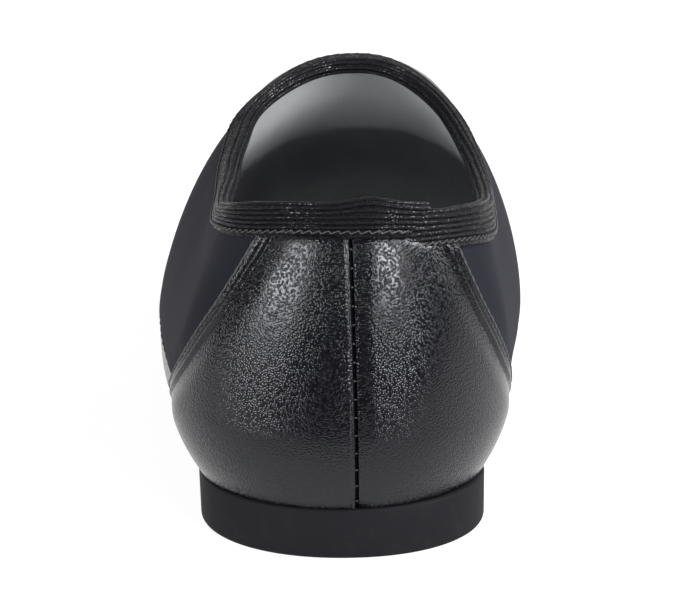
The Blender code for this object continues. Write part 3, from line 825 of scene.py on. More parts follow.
# %% The heel quarters
PANEL_TOP = 1.4
PANEL_SUNK = -0.3
PANEL_UNDER_BAND = 0.3
UNDER_BAND_START = 0.892
UNDER_BAND_FADE = 0.048
UNDER_BAND_DROP = {LATERAL: 0.0, MEDIAL: 0.028}
UNDER_BAND_DROP_WALKS = (7.0, 17.0)
PANEL_WALL = 0.7
EDGE_ROUND = 0.7
EDGE_ROLL = 0.2
EDGE_ROLL_AT = 0.9
EDGE_ROLL_WIDTH = 0.6
SEAM_ROUNDS = {LATERAL: 0.35, MEDIAL: 0.5}
SEAM_ROLLS = {LATERAL: 0.35, MEDIAL: 0.0}
SEAM_ROLL_AT = 0.55
SEAM_ROLL_WIDTH = 0.4
WELT_GROOVES = (2.2, 3.9)
GROOVE_WIDTH = 0.3
GROOVE_DEPTH = 0.5
WELT_RISE = 0.4
WELT_RISE_WIDTH = 0.6
WELT_PILLOW = 0.6
WELT_PILLOW_FADE = (3.6, 9.5)
SEAM_PILLOWS = {LATERAL: 0.05, MEDIAL: 0.45}
SEAM_PILLOW_FADE = (0.5, 4.0)
QUARTER_SHARES = np.linspace(0.0, 0.985, 110)
QUARTER_COLUMNS = crowded_ends(150, 0.8)
SEAM_GAPS = {LATERAL: -0.05, MEDIAL: 0.1}
panels = {}


def quarter_lift(side, to_front, to_seam):
    """Height of a quarter above the upper from the distances to its two free edges."""
    front = PANEL_SUNK + (PANEL_TOP - PANEL_SUNK) * rounded(to_front, EDGE_ROUND)
    seam = PANEL_SUNK + (PANEL_TOP - PANEL_SUNK) * rounded(to_seam, SEAM_ROUNDS[side])
    lift = np.minimum(front, seam)
    for centre in WELT_GROOVES:
        lift = lift - GROOVE_DEPTH * groove(to_front, centre, GROOVE_WIDTH)
    lift = lift - WELT_PILLOW * (1 - smooth_step(to_front, *WELT_PILLOW_FADE))
    lift = lift - SEAM_PILLOWS[side] * (1 - smooth_step(to_seam, *SEAM_PILLOW_FADE))
    lift = lift + SEAM_ROLLS[side] * groove(to_seam, SEAM_ROLL_AT, SEAM_ROLL_WIDTH)
    lift = lift + EDGE_ROLL * groove(to_front, EDGE_ROLL_AT, EDGE_ROLL_WIDTH)
    middle = sum(WELT_GROOVES) / 2
    return lift + WELT_RISE * groove(to_front, middle, WELT_RISE_WIDTH)


def make_quarter(side, name):
    front = edge_walks(side, QUARTER_EDGE, QUARTER_SHARES)
    back = seam_walks(QUARTER_SHARES) + SEAM_GAPS[side]
    walks = back[:, None] + (front - back)[:, None] * QUARTER_COLUMNS[None]
    shares = np.repeat(QUARTER_SHARES[:, None], len(QUARTER_COLUMNS), axis=1)
    flat = on_upper(walks, shares)
    to_front = distances(flat, dense(flat[:, -1]))
    to_seam = distances(flat, dense(flat[:, 0]))
    lift = quarter_lift(side, to_front, to_seam)
    drop = UNDER_BAND_DROP[side] * smooth_step(abs(walks), *UNDER_BAND_DROP_WALKS)
    under_band = smooth_step(shares - UNDER_BAND_START + drop, 0.0, UNDER_BAND_FADE)
    grid = on_upper(walks, shares, lift + (PANEL_UNDER_BAND - lift) * under_band)
    faces = grid_faces(*grid.shape[:2])
    mesh = mesh_of(name, grid, faces if side == MEDIAL else [face[::-1] for face in faces])
    panels[name] = (flat, BVHTree.FromPolygons(grid.reshape(-1, 3).tolist(), faces))
    quarter = new_piece(name + "_leather", mesh, LEATHER)
    thicken(quarter, PANEL_WALL)
    register(quarter, "leather", name)


make_quarter(LATERAL, "quarter_lateral")
make_quarter(MEDIAL, "quarter_medial")

# %% [markdown]
# ## The vamp
#
# The vamp covers the toe and the instep, and a wing runs back along each side. It is made as the
# quarters are, in two halves that meet along the top line. Both halves measure their lift from the
# whole cut edge, so they are equally high where they meet. A few faint creases over the ball show
# where a foot bends it. They are moves of the mesh, because a bump would leave the outline straight.

# %% The vamp
VAMP_SHARES = np.linspace(0.0, 1.0, 104)
VAMP_STEPS = 190
VAMP_EVENNESS = 0.35
VAMP_MEETING = (0.8, 1.0)
VAMP_GROOVE = 1.1
VAMP_PILLOW = 0.9
VAMP_PILLOW_WIDTH = 16.0
# Soft flex creases over the ball: place on the top line, slant, depth and width in millimetres.
CREASES = ((158.0, 0.16, 0.14, 4.0), (169.0, 0.10, 0.20, 4.4), (180.0, 0.02, 0.12, 3.8))
CREASE_FADE = (0.35, 0.75)
CREASE_MIDDLE_X = 6.0
CREASE_SHOULDER = 0.5
CREASE_SHOULDER_AT = 1.9


def crease_lift(points, shares):
    """Shallow hollows across the top, each with a low shoulder ahead of it."""
    lift = np.zeros(points.shape[:-1])
    fade = smooth_step(shares, *CREASE_FADE)
    for place, slant, depth, width in CREASES:
        off = points[..., 1] - place - slant * (points[..., 0] - CREASE_MIDDLE_X)
        lift -= depth * groove(off, 0.0, width) * fade
        lift += CREASE_SHOULDER * depth * groove(off, CREASE_SHOULDER_AT * width, width) * fade
    return lift


def make_vamp():
    steps = np.linspace(0.0, 1.0, VAMP_STEPS)
    columns = VAMP_EVENNESS * steps + (1 - VAMP_EVENNESS) * steps**2
    edges = {side: edge_walks(side, VAMP_EDGE, VAMP_SHARES) for side in (LATERAL, MEDIAL)}
    top_walk = np.mean([abs(walks[-1]) for walks in edges.values()])
    ease = smooth_step(VAMP_SHARES, *VAMP_MEETING)
    shares = np.repeat(VAMP_SHARES[:, None], len(columns), axis=1)
    halves = {}
    for side, edge in edges.items():
        edge = edge + (side * top_walk - edge[-1]) * ease
        walks = edge[:, None] + (side * TIP - edge)[:, None] * columns[None]
        halves[side] = (walks, on_upper(walks, shares))
    cut_edge = np.vstack([dense(flat[:, 0]) for _, flat in halves.values()])
    points, faces = [], []
    for side, (walks, flat) in halves.items():
        to_edge = distances(flat, cut_edge)
        lift = PANEL_SUNK + (PANEL_TOP - PANEL_SUNK) * rounded(to_edge, EDGE_ROUND)
        lift = lift - GROOVE_DEPTH * groove(to_edge, VAMP_GROOVE, GROOVE_WIDTH)
        lift = lift - VAMP_PILLOW * (1 - smooth_step(to_edge, 0.0, VAMP_PILLOW_WIDTH))
        grid = on_upper(walks, shares, lift + crease_lift(flat, shares))
        surface = BVHTree.FromPolygons(grid.reshape(-1, 3).tolist(), grid_faces(*grid.shape[:2]))
        panels["vamp", side] = (flat, surface)
        new_faces = grid_faces(*grid.shape[:2], first=sum(len(part) for part in points))
        points.append(grid.reshape(-1, 3))
        faces += new_faces if side == MEDIAL else [face[::-1] for face in new_faces]
    vamp = new_piece("vamp_leather", mesh_of("vamp_leather", np.vstack(points), faces), LEATHER)
    thicken(vamp, PANEL_WALL)
    register(vamp, "leather", "vamp")


make_vamp()

# %% [markdown]
# ## Cords and stitches from Geometry Nodes
#
# Ribs of the elastic and zigzag thread are the same thing to Blender: a round section swept along
# a path. Rows of stitches are one small bead repeated along a path and turned with the surface.
# Placing hundreds of beads by hand would be slow, and a copy of each would be hard to change. Both
# are node trees with named inputs instead, and both end as plain meshes.

# %% Node trees
CORD_SIDES = 6
BEAD_SEGMENTS = 8
BEAD_RINGS = 5
BEAD_RADIUS = 0.5


def start_tree(name, sizes):
    """A Geometry Nodes tree with a geometry input, number inputs and a material input."""
    tree = bpy.data.node_groups.new(name, "GeometryNodeTree")
    tree.interface.new_socket("Geometry", in_out="INPUT", socket_type="NodeSocketGeometry")
    for size in sizes:
        tree.interface.new_socket(size, in_out="INPUT", socket_type="NodeSocketFloat")
    tree.interface.new_socket("Finish", in_out="INPUT", socket_type="NodeSocketMaterial")
    tree.interface.new_socket("Geometry", in_out="OUTPUT", socket_type="NodeSocketGeometry")
    return tree, tree.nodes.new("NodeGroupInput").outputs


def add_node(tree, kind, settings, sockets, output=0):
    made = tree.nodes.new(kind)
    for name, value in settings.items():
        setattr(made, name, value)
    for name, value in sockets.items():
        if isinstance(value, bpy.types.NodeSocket):
            tree.links.new(value, made.inputs[name])
        else:
            made.inputs[name].default_value = value
    return made.outputs[output]


def end_tree(tree, geometry, finish):
    """Realizes the instances, paints them and makes them the tree's result."""
    smooth = add_node(tree, "GeometryNodeSetShadeSmooth", {}, {0: geometry})
    real = add_node(tree, "GeometryNodeRealizeInstances", {}, {"Geometry": smooth})
    painted = add_node(tree, "GeometryNodeSetMaterial", {}, {"Geometry": real, "Material": finish})
    tree.links.new(painted, tree.nodes.new("NodeGroupOutput").inputs[0])
    print(f"{tree.name}: {len(tree.nodes)} nodes")


def make_cord_tree():
    tree, given = start_tree("cord_along_path", ("Radius",))
    path = add_node(tree, "GeometryNodeMeshToCurve", {}, {"Mesh": given["Geometry"]})
    ring = add_node(tree, "GeometryNodeCurvePrimitiveCircle", {}, {
        "Resolution": CORD_SIDES, "Radius": given["Radius"],
    })
    cord = add_node(tree, "GeometryNodeCurveToMesh", {}, {
        "Curve": path, "Profile Curve": ring, "Fill Caps": True,
    })
    end_tree(tree, cord, given["Finish"])
    return tree


def make_stitch_tree():
    tree, given = start_tree("stitches_along_path", ("Pitch", "Length", "Width", "Height"))
    path = add_node(tree, "GeometryNodeMeshToCurve", {}, {"Mesh": given["Geometry"]})
    spots = tree.nodes.new("GeometryNodeCurveToPoints")
    spots.mode = "LENGTH"
    tree.links.new(path, spots.inputs["Curve"])
    tree.links.new(given["Pitch"], spots.inputs["Length"])
    facing = add_node(tree, "GeometryNodeInputNamedAttribute", {"data_type": "FLOAT_VECTOR"}, {
        "Name": "facing",
    })
    turn = add_node(tree, "FunctionNodeAxesToRotation", {"primary_axis": "X", "secondary_axis": "Z"}, {
        "Primary Axis": spots.outputs["Tangent"], "Secondary Axis": facing,
    })
    bead = add_node(tree, "GeometryNodeMeshUVSphere", {}, {
        "Segments": BEAD_SEGMENTS, "Rings": BEAD_RINGS, "Radius": BEAD_RADIUS,
    })
    size = add_node(tree, "ShaderNodeCombineXYZ", {}, {
        "X": given["Length"], "Y": given["Width"], "Z": given["Height"],
    })
    row = add_node(tree, "GeometryNodeInstanceOnPoints", {}, {
        "Points": spots.outputs["Points"], "Instance": bead, "Rotation": turn, "Scale": size,
    })
    end_tree(tree, row, given["Finish"])
    return tree


CORD_TREE = make_cord_tree()
STITCH_TREE = make_stitch_tree()


# %% Paths for the trees
def path_mesh(name, lines, facings=None):
    """Open lines of points as mesh edges, with the direction that each point faces."""
    mesh = bpy.data.meshes.new(name)
    edges, first = [], 0
    for line in lines:
        edges += [(first + i, first + i + 1) for i in range(len(line) - 1)]
        first += len(line)
    placed = (np.vstack(lines) + SHIFT) * MM
    mesh.from_pydata(placed.tolist(), edges, [])
    if facings is not None:
        layer = mesh.attributes.new("facing", "FLOAT_VECTOR", "POINT")
        layer.data.foreach_set("vector", np.vstack(facings).astype(np.float32).ravel())
    return mesh


def grown(name, tree, mesh, material, sizes):
    """A piece made by a node tree from a path mesh, as plain mesh."""
    piece = new_piece(name, mesh)
    nodes = piece.modifiers.new("nodes", "NODES")
    nodes.node_group = tree
    for item in tree.interface.items_tree:
        if item.in_out == "INPUT" and item.name in sizes:
            nodes[item.identifier] = sizes[item.name] * MM
        elif item.in_out == "INPUT" and item.name == "Finish":
            nodes[item.identifier] = material
    return settle(piece)


# %% [markdown]
# ## The collar's binding
#
# A strip of ribbed elastic is folded over the raw edge all round the opening. Its end lies on top
# of its start at the back, cut on a slant. A curve with a bevel would twist at the corners and
# would not lie on the wall. So the strip is a hook-shaped section laid along the collar, and ribs
# are cords on it. A path that runs a little more than once round makes the overlap: its first
# stretch rides up on its last one.

# %% The collar's edge as a path
COLLAR_STEPS = 220
COLLAR_THROAT_STEPS = 40
COLLAR_THROAT_REACH = 12.0
PAST_THROAT = 45.0
SURFACE_STEPS = 330
SURFACE_FIRST_ROW = 20


def collar_path():
    """The collar's edge from the back of the heel round the lateral side, and its length."""
    crowd = THROAT - COLLAR_THROAT_REACH * np.linspace(1.0, 0.0, COLLAR_THROAT_STEPS) ** 2
    walks = np.concatenate([np.linspace(0.0, crowd[0], COLLAR_STEPS, endpoint=False), crowd])
    lateral, medial = (rim_grid(side, walks, np.array([1.0]))[:, 0] for side in (LATERAL, MEDIAL))
    loop = np.vstack([lateral, medial[-2::-1]])
    return loop, lengths_along(loop)


COLLAR, COLLAR_LENGTHS = collar_path()
COLLAR_ROUND = COLLAR_LENGTHS[-1]


def near_collar_surface():
    """The outside of the last beside the collar, also above it, to lay the binding on."""
    walks = np.linspace(0.0, THROAT + PAST_THROAT, SURFACE_STEPS)
    points, faces = [], []
    for side in (LATERAL, MEDIAL):
        lines = wall_lines(side, walks)[:, SURFACE_FIRST_ROW:]
        new_faces = grid_faces(*lines.shape[:2], first=sum(len(part) for part in points))
        points.append(lines.reshape(-1, 3))
        faces += new_faces if side == LATERAL else [face[::-1] for face in new_faces]
    return BVHTree.FromPolygons(np.vstack(points).tolist(), faces)


COLLAR_SURFACE = near_collar_surface()
print("collar is", round(COLLAR_ROUND, 1), "mm round")

# %% The band's section
BAND_OUTSIDE = 7.1
BAND_INSIDE = 5.6
BAND_OUTER = 0.85
BAND_INNER = -1.9
FOLD_START = 0.3
FOLD_TOP = -0.9
OVERLAP_START = 13.7
OVERLAP_SLANT = -0.75
OVERLAP_LENGTH = 15.0
OVERLAP_RISE = 0.9
OVERLAP_LEVEL = 0.45
TANGENT_REACH = 0.6
# How deep the band is along the collar, as a share of its full depth.
HEM_STOPS = (0.0, 36.0, 52.0, 72.0, 105.0)
HEM_SCALES = (0.83, 0.80, 0.64, 0.68, 0.88)
HEM_END = 1.03
END_DIP = 2.0
END_DIP_REACH = (-30.0, 2.0)
CORNER_LIFT = 1.0
CORNER_PLACE = 27.0
CORNER_WIDTH = 14.0
SEAM_PEAK = 1.1
SEAM_PLACE = 12.0
SEAM_PEAK_WIDTH = 4.5
SEAM_PEAK_FADE = (-1.0, 4.0)
OUTSIDE_SPOTS, FOLD_SPOTS, INSIDE_SPOTS = 9, 13, 8


def section_outline():
    """Depth below the collar and offset from the wall, from the outer hem over the fold to the inner."""
    turn = np.linspace(0.0, math.pi, FOLD_SPOTS)[1:-1]
    middle, half = (BAND_OUTER + BAND_INNER) / 2, (BAND_OUTER - BAND_INNER) / 2
    outside = [(depth, BAND_OUTER) for depth in np.linspace(BAND_OUTSIDE, FOLD_START, OUTSIDE_SPOTS)]
    fold = [
        (FOLD_START - (FOLD_START - FOLD_TOP) * math.sin(a), middle + half * math.cos(a)) for a in turn
    ]
    inside = [(depth, BAND_INNER) for depth in np.linspace(FOLD_START, BAND_INSIDE, INSIDE_SPOTS)]
    return np.array(outside + fold + inside)


def band_depths(depth, along):
    """Depth below the collar along the path, for a spot of the section at this depth."""
    scale = np.interp(along, (*HEM_STOPS, COLLAR_ROUND), (*HEM_SCALES, HEM_END))
    dip = END_DIP * smooth_step(along - COLLAR_ROUND, *END_DIP_REACH)
    peak = SEAM_PEAK * groove(along, SEAM_PLACE, SEAM_PEAK_WIDTH)
    peak = peak * (1 - smooth_step(depth, *SEAM_PEAK_FADE))
    places = along - OVERLAP_START
    lift = 0.0
    for corner in (CORNER_PLACE, COLLAR_ROUND - CORNER_PLACE):
        lift = lift + CORNER_LIFT * groove(places, corner, CORNER_WIDTH)
    return depth * (scale if depth > 0 else 1.0) + dip - peak - lift


def on_collar(places):
    """Points of the collar's edge this far round it."""
    places = places % COLLAR_ROUND
    return np.column_stack([np.interp(places, COLLAR_LENGTHS, COLLAR[:, i]) for i in range(3)])


def band_spots(section, along):
    """Points of the binding: rows along the collar, columns over the section.

    along runs from the slanted end at the back, round the lateral side, to under that end.
    """
    result = np.empty((len(along), len(section), 3))
    rise = OVERLAP_RISE * (1 - smooth_step(along, OVERLAP_LEVEL * OVERLAP_LENGTH, OVERLAP_LENGTH))
    for j, (depth, offset) in enumerate(section):
        slant = OVERLAP_SLANT * max(depth, 0.0)
        places = along - OVERLAP_START - slant
        spots = on_collar(places)
        ahead = on_collar(places + TANGENT_REACH) - on_collar(places - TANGENT_REACH)
        depths = band_depths(depth, along)
        for i, spot in enumerate(spots):
            edge = Vector(spot)
            tangent = Vector(ahead[i]).normalized()
            _, normal, _, _ = COLLAR_SURFACE.find_nearest(edge)
            down = normal.cross(tangent).normalized()
            place, out, _, _ = COLLAR_SURFACE.find_nearest(edge + down * max(depths[i], 0.0))
            lifted = offset + rise[i] * (1 if offset > BAND_INNER else 0)
            result[i, j] = place + out * lifted + down * min(depths[i], 0.0)
    return result


def evened(grid):
    """A grid with its points averaged along the rows' direction, its ends kept."""
    passes = 4
    smooth = grid.copy()
    for _ in range(passes):
        smooth[1:-1] = (smooth[:-2] + 2 * smooth[1:-1] + smooth[2:]) / 4
    return smooth


print(len(section_outline()), "spots in the band's section")

# %% The band and its ribs
BAND_WALL = 0.7
BAND_STEPS = 560
UNDERLAP = 0.6
RIB_RADIUS = 0.47
RIB_PITCH = 1.14
RIB_START = 0.75


def rib_section(outline):
    """Spots for the ribs, evenly spaced over the section's outline."""
    lengths = lengths_along(outline)
    at = np.arange(RIB_START + RIB_RADIUS, lengths[-1] - RIB_RADIUS, RIB_PITCH)
    return np.column_stack([np.interp(at, lengths, outline[:, i]) for i in range(2)])


def make_binding():
    along = np.linspace(0.0, COLLAR_ROUND + UNDERLAP * OVERLAP_LENGTH, BAND_STEPS)
    outline = section_outline()
    grid = evened(band_spots(outline, along))
    faces = grid_faces(*grid.shape[:2])
    band = new_piece("binding_band", mesh_of("binding_band", grid, faces), ELASTIC)
    thicken(band, BAND_WALL)
    register(band, "binding", "collar_binding")
    ribs = evened(band_spots(rib_section(outline), along))
    lines = [ribs[:, j] for j in range(ribs.shape[1])]
    mesh = path_mesh("binding_ribs", lines)
    cords = grown("binding_ribs", CORD_TREE, mesh, ELASTIC, {"Radius": RIB_RADIUS})
    register(cords, "binding")


make_binding()


# %% [markdown]
# ## Sewing
#
# A zigzag thread holds the binding's hem. Lock stitches run along the panels' edges, and thread
# bars cross the seam up the back. A texture could paint them, but thread stands up and catches the
# light, so each stitch is a small mesh from the node trees above.

# %% Zigzag on the binding
ZIGZAG_DEPTHS = (5.45, 6.15)
ZIGZAG_PITCH = 1.8
ZIGZAG_START = 1.0
ZIGZAG_LIFT = 0.05
ZIGZAG_RADIUS = 0.14


def make_zigzag():
    along = np.arange(ZIGZAG_START, COLLAR_ROUND, ZIGZAG_PITCH / 2)
    top = BAND_OUTER + RIB_RADIUS + ZIGZAG_LIFT
    rails = band_spots([(depth, top) for depth in ZIGZAG_DEPTHS], along)
    odd = np.arange(len(along)) % 2
    path = rails[np.arange(len(along)), odd]
    mesh = path_mesh("binding_zigzag", [path])
    thread = grown("binding_zigzag", CORD_TREE, mesh, THREAD, {"Radius": ZIGZAG_RADIUS})
    register(thread, "binding")


make_zigzag()


# %% Stitch rows on the leather
EDGE_STITCH = 0.95
STITCH_PATH_GAP = 0.5
STITCH_LIFT = 0.04
INSIDE_X, INSIDE_Z = 4.0, 30.0
PANEL_STITCH = {"Pitch": 2.1, "Length": 1.75, "Width": 0.38, "Height": 0.34}


def inward_sign(flat, surface, column):
    """Which way from an edge the panel lies."""
    columns_in = 20
    middle = len(flat) // 2
    spot = Vector(flat[middle, column])
    ahead = Vector(flat[middle + 1, column]) - spot
    inner = Vector(flat[middle, columns_in if column == 0 else -columns_in])
    _, normal, _, _ = surface.find_nearest(spot)
    return 1.0 if normal.cross(ahead).dot(inner - spot) > 0 else -1.0


def stitch_path(flat, surface, column, distance):
    """A line beside a panel's edge, laid on the panel, with the directions that it faces."""
    inwards = inward_sign(flat, surface, column)
    line = dense(flat[:, column], STITCH_PATH_GAP)
    tangent = np.gradient(line, axis=0)
    path, facing = [], []
    for spot, ahead in zip(line, tangent):
        _, normal, _, _ = surface.find_nearest(Vector(spot))
        side = normal.cross(Vector(ahead)).normalized() * inwards
        place, out, _, _ = surface.find_nearest(Vector(spot) + side * distance)
        if out.dot(place - Vector((INSIDE_X, place.y, INSIDE_Z))) < 0:
            out = -out
        path.append(place + out * STITCH_LIFT)
        facing.append(out)
    return np.array(path), np.array(facing)


def make_panel_stitches():
    rows = []
    for name in ("quarter_lateral", "quarter_medial"):
        for distance in (EDGE_STITCH, *WELT_GROOVES):
            rows.append(stitch_path(*panels[name], -1, distance))
    for side in (LATERAL, MEDIAL):
        rows.append(stitch_path(*panels["vamp", side], 0, VAMP_GROOVE))
    mesh = path_mesh("panel_stitches", [row[0] for row in rows], [row[1] for row in rows])
    stitches = grown("panel_stitches", STITCH_TREE, mesh, THREAD, PANEL_STITCH)
    register(stitches, "leather")


make_panel_stitches()


# %% Thread bars up the back seam
BAR_SHARES = np.linspace(0.03, 0.93, 90)
BAR_ASIDE = 0.05
BAR_LIFT = 0.65
SEAM_BAR = {"Pitch": 3.5, "Length": 0.4, "Width": 0.7, "Height": 0.35}


def make_seam_bars():
    walks = seam_walks(BAR_SHARES) + BAR_ASIDE
    path = on_upper(walks, BAR_SHARES, BAR_LIFT)
    facing = path - on_upper(walks, BAR_SHARES)
    mesh = path_mesh("seam_bars", [path], [facing])
    bars = grown("seam_bars", STITCH_TREE, mesh, THREAD, SEAM_BAR)
    register(bars, "leather")


make_seam_bars()


# %% [markdown]
# ## Insole, heel and sole
#
# The insole is a sock of cloth on a thin board, the heel a low rubber block, and the forefoot sole a
# pad of rubber that curves up to the toe. Each is a plate: an outline with a rounded lower and upper
# edge. A Bevel modifier would pinch at the many short edges of a round outline, so the rounding is
# built in layers, each with its own height and inset.

# %% Plates
def plate(name, rails, levels, across):
    """A closed plate. rails hold (lateral, middle, medial) points of each station.

    levels hold the height above those points and the inset from the edge, from the bottom up.
    """
    smallest = 1e-6
    shares = np.linspace(-1.0, 1.0, across)
    lateral, middle, medial = (np.array([rail[i] for rail in rails]) for i in range(3))

    def layer(height, inset):
        grid = np.empty((len(rails), across, 3))
        for j, share in enumerate(shares):
            edge = lateral if share < 0 else medial
            out = edge - middle
            reach = np.maximum(np.linalg.norm(out[:, :2], axis=1), smallest)
            kept = np.maximum(1 - inset / reach, 0.0)
            grid[:, j, :2] = middle[:, :2] + out[:, :2] * (abs(share) * kept)[:, None]
            grid[:, j, 2] = middle[:, 2] + out[:, 2] * abs(share) + height
        return grid

    layers = [layer(height, inset) for height, inset in levels]
    count = len(rails) * across
    top = (len(layers) - 1) * count
    faces = [face[::-1] for face in grid_faces(len(rails), across)]
    faces += grid_faces(len(rails), across, first=top)
    # An end where both edges meet in one point needs no wall of its own.
    last_row = (len(rails) - 1) * across
    ring = [i * across for i in range(len(rails))]
    if not np.allclose(lateral[-1], medial[-1]):
        ring += [last_row + j for j in range(1, across - 1)]
    ring += [i * across + across - 1 for i in range(len(rails) - 1, -1, -1)]
    if not np.allclose(lateral[0], medial[0]):
        ring += list(range(across - 2, 0, -1))
    for floor in range(0, top, count):
        for a, b in zip(ring, ring[1:] + ring[:1]):
            faces.append((floor + a, floor + b, floor + count + b, floor + count + a))
    points = np.concatenate([grid.reshape(-1, 3) for grid in layers])
    return mesh_of(name, points, faces, recalculate=True)


def rounding(bottom, top, low_radius, high_radius, steps=5):
    """Levels of a plate whose lower and upper edges are rounded."""
    turns = np.linspace(0.0, math.pi / 2, steps)
    low = [(bottom + low_radius * (1 - math.cos(t)), low_radius * (1 - math.sin(t))) for t in turns]
    high = [(top - high_radius * (1 - math.sin(t)), high_radius * (1 - math.cos(t))) for t in turns]
    return low + high


def sole_rails(walks, inset):
    """The sole's edge on both sides, moved inwards, and the middle between them."""
    edges = []
    for side in (LATERAL, MEDIAL):
        rows = sections_at(side, walks)
        reach = rows["sole"] - inset
        edges.append(np.column_stack([
            rows["axis"] + rows["out_x"] * reach, rows["place"] + rows["out_y"] * reach, rows["bottom"],
        ]))
    middle = np.column_stack([rows["axis"], rows["place"], CURVES["bottom"](rows["place"])])
    return list(zip(edges[0], middle, edges[1]))


# %% Insole
INSOLE_CLEAR = 0.5
INSOLE_LEVELS = rounding(1.8, 4.3, 0.8, 0.5, steps=4)
INSOLE_STATIONS = 150
INSOLE_ACROSS = 13


def make_insole():
    walks = np.linspace(0.0, TIP, INSOLE_STATIONS)
    mesh = plate("insole_sock", sole_rails(walks, WALL + INSOLE_CLEAR), INSOLE_LEVELS, INSOLE_ACROSS)
    insole = new_piece("insole_sock", mesh, SHADED_SOCK)
    register(insole, "insole", "insole")


make_insole()

# %% Heel
HEEL_HALF_WIDTH = 29.0
HEEL_BACK_REACH = 29.6
HEEL_POWER = 2.1
HEEL_FRONT = 58.0
HEEL_FLARE = 0.3
HEEL_TOP = 10.2
HEEL_LEVELS = rounding(0.0, HEEL_TOP, 0.9, 0.6)
HEEL_BACK_STATIONS = 60
HEEL_SIDE_STATIONS = 16
PLATE_ACROSS = 15


def make_heel():
    """A rubber block, round at the back, straight across the front."""
    rails = []
    pivot = np.array([HEEL_MIDDLE_X, HEEL_PIVOT, 0.0])
    for turn in np.linspace(0.0, math.pi / 2, HEEL_BACK_STATIONS):
        across, along = math.sin(turn), math.cos(turn)
        reach = (across / HEEL_HALF_WIDTH) ** HEEL_POWER + (along / HEEL_BACK_REACH) ** HEEL_POWER
        reach = reach ** (-1 / HEEL_POWER)
        to_lateral = np.array([LATERAL * across, -along, 0.0]) * reach
        to_medial = np.array([MEDIAL * across, -along, 0.0]) * reach
        rails.append((pivot + to_lateral, pivot, pivot + to_medial))
    for share in np.linspace(0.0, 1.0, HEEL_SIDE_STATIONS)[1:]:
        place = HEEL_PIVOT + share * (HEEL_FRONT - HEEL_PIVOT)
        half = np.array([HEEL_HALF_WIDTH + share * HEEL_FLARE, 0.0, 0.0])
        middle = np.array([HEEL_MIDDLE_X, place, 0.0])
        rails.append((middle - half, middle, middle + half))
    mesh = plate("heel_block", rails, HEEL_LEVELS, PLATE_ACROSS)
    heel = new_piece("heel_block", mesh, RUBBER)
    register(heel, "rubber", "heel")


make_heel()

# %% Forefoot sole
SOLE_BACK = 126.0
SOLE_INSET = 1.2
SOLE_LEVELS = rounding(-BALL_SEAT, -0.1, 0.9, 0.4)
SOLE_STATIONS = 50


def make_forefoot_sole():
    start = HEEL_ARC + SOLE_BACK - HEEL_PIVOT
    side_walks = np.linspace(start, SIDE_END, SOLE_STATIONS, endpoint=False)
    walks = np.concatenate([side_walks, np.linspace(SIDE_END, TIP, SOLE_STATIONS)])
    mesh = plate("forefoot_patch", sole_rails(walks, SOLE_INSET), SOLE_LEVELS, PLATE_ACROSS)
    sole = new_piece("forefoot_patch", mesh, RUBBER)
    register(sole, "rubber", "forefoot_sole")


make_forefoot_sole()

# %% [markdown]
# ## The stage
#
# The shoe stands on a white sweep of paper, as in a studio. The paper shines a little by itself, so
# it is evenly white without a light of its own, and it gives the shoe's edges their glow. The part of
# the floor nearest the camera stays out of reflections, so the middle of the heel is dark.

# %% Floor
def make_paper():
    paper = Finish("white_paper", Roughness=0.9, Specular_IOR_Level=0.0, Emission_Strength=0.9)
    paper.shader.inputs["Emission Color"].default_value = (1.0, 1.0, 1.0, 1.0)
    paper.feed("Base Color", paper.blend(paper.noise(40.0), (0.18, 0.18, 0.18), (0.20, 0.20, 0.20)))
    return paper.done()


PAPER = make_paper()
SHEET_HALF = 3.0
BEND_STEPS = 14


def make_sheet(name, profile):
    """A sheet of paper with this outline from the side."""
    points = [(x, y, z) for y, z in profile for x in (-SHEET_HALF, SHEET_HALF)]
    faces = [(2 * i, 2 * i + 1, 2 * i + 3, 2 * i + 2) for i in range(len(profile) - 1)]
    mesh = bpy.data.meshes.new(name)
    mesh.from_pydata(points, [], faces)
    mesh.shade_smooth()
    sheet = new_piece(name, mesh, PAPER)
    print(f"{name}: {len(faces)} faces")
    return sheet


def make_floor():
    """A floor that bends up into a backdrop, and the part of it in front of the heel."""
    front, split, bend, back, height, radius = -2.5, -0.19, 1.6, 2.4, 3.0, 0.8
    profile = [(split, 0.0), (bend, 0.0)]
    for turn in np.linspace(0.0, math.pi / 2, BEND_STEPS)[1:]:
        profile.append((bend + radius * math.sin(turn), radius * (1 - math.cos(turn))))
    profile.append((back, height))
    make_sheet("floor", profile)
    near = make_sheet("floor_near_camera", [(front, 0.0), (split, 0.0)])
    near.visible_glossy = False


make_floor()


# %% [markdown]
# ## Light
#
# Gloss shows what it mirrors, so the lights' sizes and places shape the leather as much as its
# finish does. Two softboxes behind the camera, left and right, make the two bright patches on the
# heel. A larger light high on the right lights the inside of the collar, a faint one on the left
# softens its shadow, and one far overhead evens out the rest. The world adds very little.

# %% Lights
HEEL_SPOT = (0.0, -0.1, 0.05)
FLOOR_SPOT = (0.0, 0.4, 0.0)
WORLD_STRENGTH = 0.05


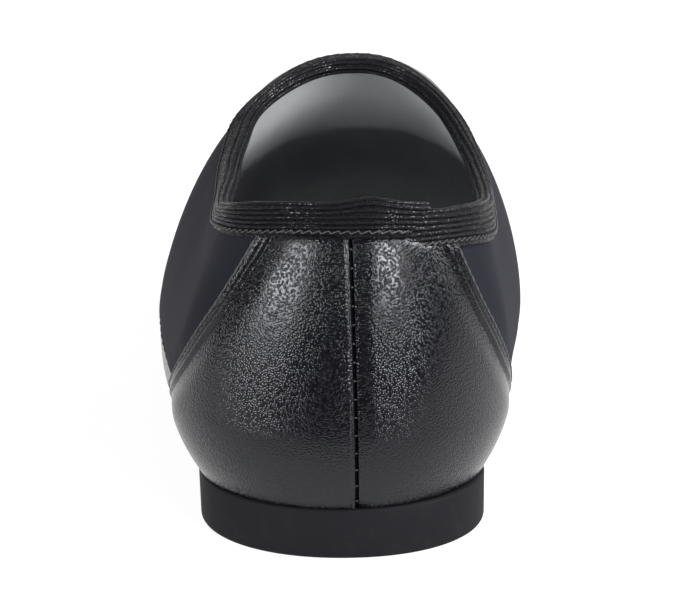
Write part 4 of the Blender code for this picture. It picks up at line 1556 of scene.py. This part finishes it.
def soft_light(name, place, target, size, power):
    lamp = bpy.data.lights.new(name, "AREA")
    lamp.shape = "RECTANGLE"
    lamp.size, lamp.size_y = size
    lamp.energy = power
    holder = bpy.data.objects.new(name, lamp)
    holder.location = place
    holder.rotation_euler = (Vector(target) - Vector(place)).to_track_quat("-Z", "Y").to_euler()
    bpy.context.scene.collection.objects.link(holder)
    print(f"{name}: {power} W")


soft_light("left_softbox", (-1.29, -0.99, 0.46), HEEL_SPOT, (0.9, 0.5), 24.0)
soft_light("right_softbox", (0.80, -1.45, 0.46), HEEL_SPOT, (0.6, 0.5), 24.0)
soft_light("key_right", (1.0, -0.18, 0.92), HEEL_SPOT, (0.9, 0.9), 32.0)
soft_light("key_left", (-1.05, -0.25, 0.85), HEEL_SPOT, (0.9, 0.9), 2.0)
soft_light("overhead", (0.0, 0.5, 2.6), FLOOR_SPOT, (3.0, 3.0), 5.0)
world = bpy.data.worlds.new("white_room")
world.use_nodes = True
background = world.node_tree.nodes["Background"].inputs
background["Color"].default_value = (1.0, 1.0, 1.0, 1.0)
background["Strength"].default_value = WORLD_STRENGTH
bpy.context.scene.world = world
bpy.context.scene.view_settings.view_transform = "Standard"

# %% [markdown]
# ## The camera
#
# The shoe is seen from behind and a little above, from about 0.7 m, with a long lens. The
# place is in millimetres from the back of the heel, as the last is, and the angles are in degrees:
# how far the camera looks down, and how far it turns to its right.

# %% Camera
CAMERA_PLACE = (-30.05, -657.2, 233.7)
CAMERA_DOWN = 15.37
CAMERA_TURN = 2.646
LENS = 181.7
SENSOR = 36.0
camera_data = bpy.data.cameras.new("camera")
camera_data.lens = LENS
camera_data.sensor_fit = "HORIZONTAL"
camera_data.sensor_width = SENSOR
camera = bpy.data.objects.new("camera", camera_data)
camera.location = (np.array(CAMERA_PLACE) + SHIFT) * MM
camera.rotation_euler = (math.radians(90.0 - CAMERA_DOWN), 0.0, -math.radians(CAMERA_TURN))
bpy.context.scene.collection.objects.link(camera)
bpy.context.scene.camera = camera
print("camera at", [round(value, 3) for value in camera.location], "lens", LENS)
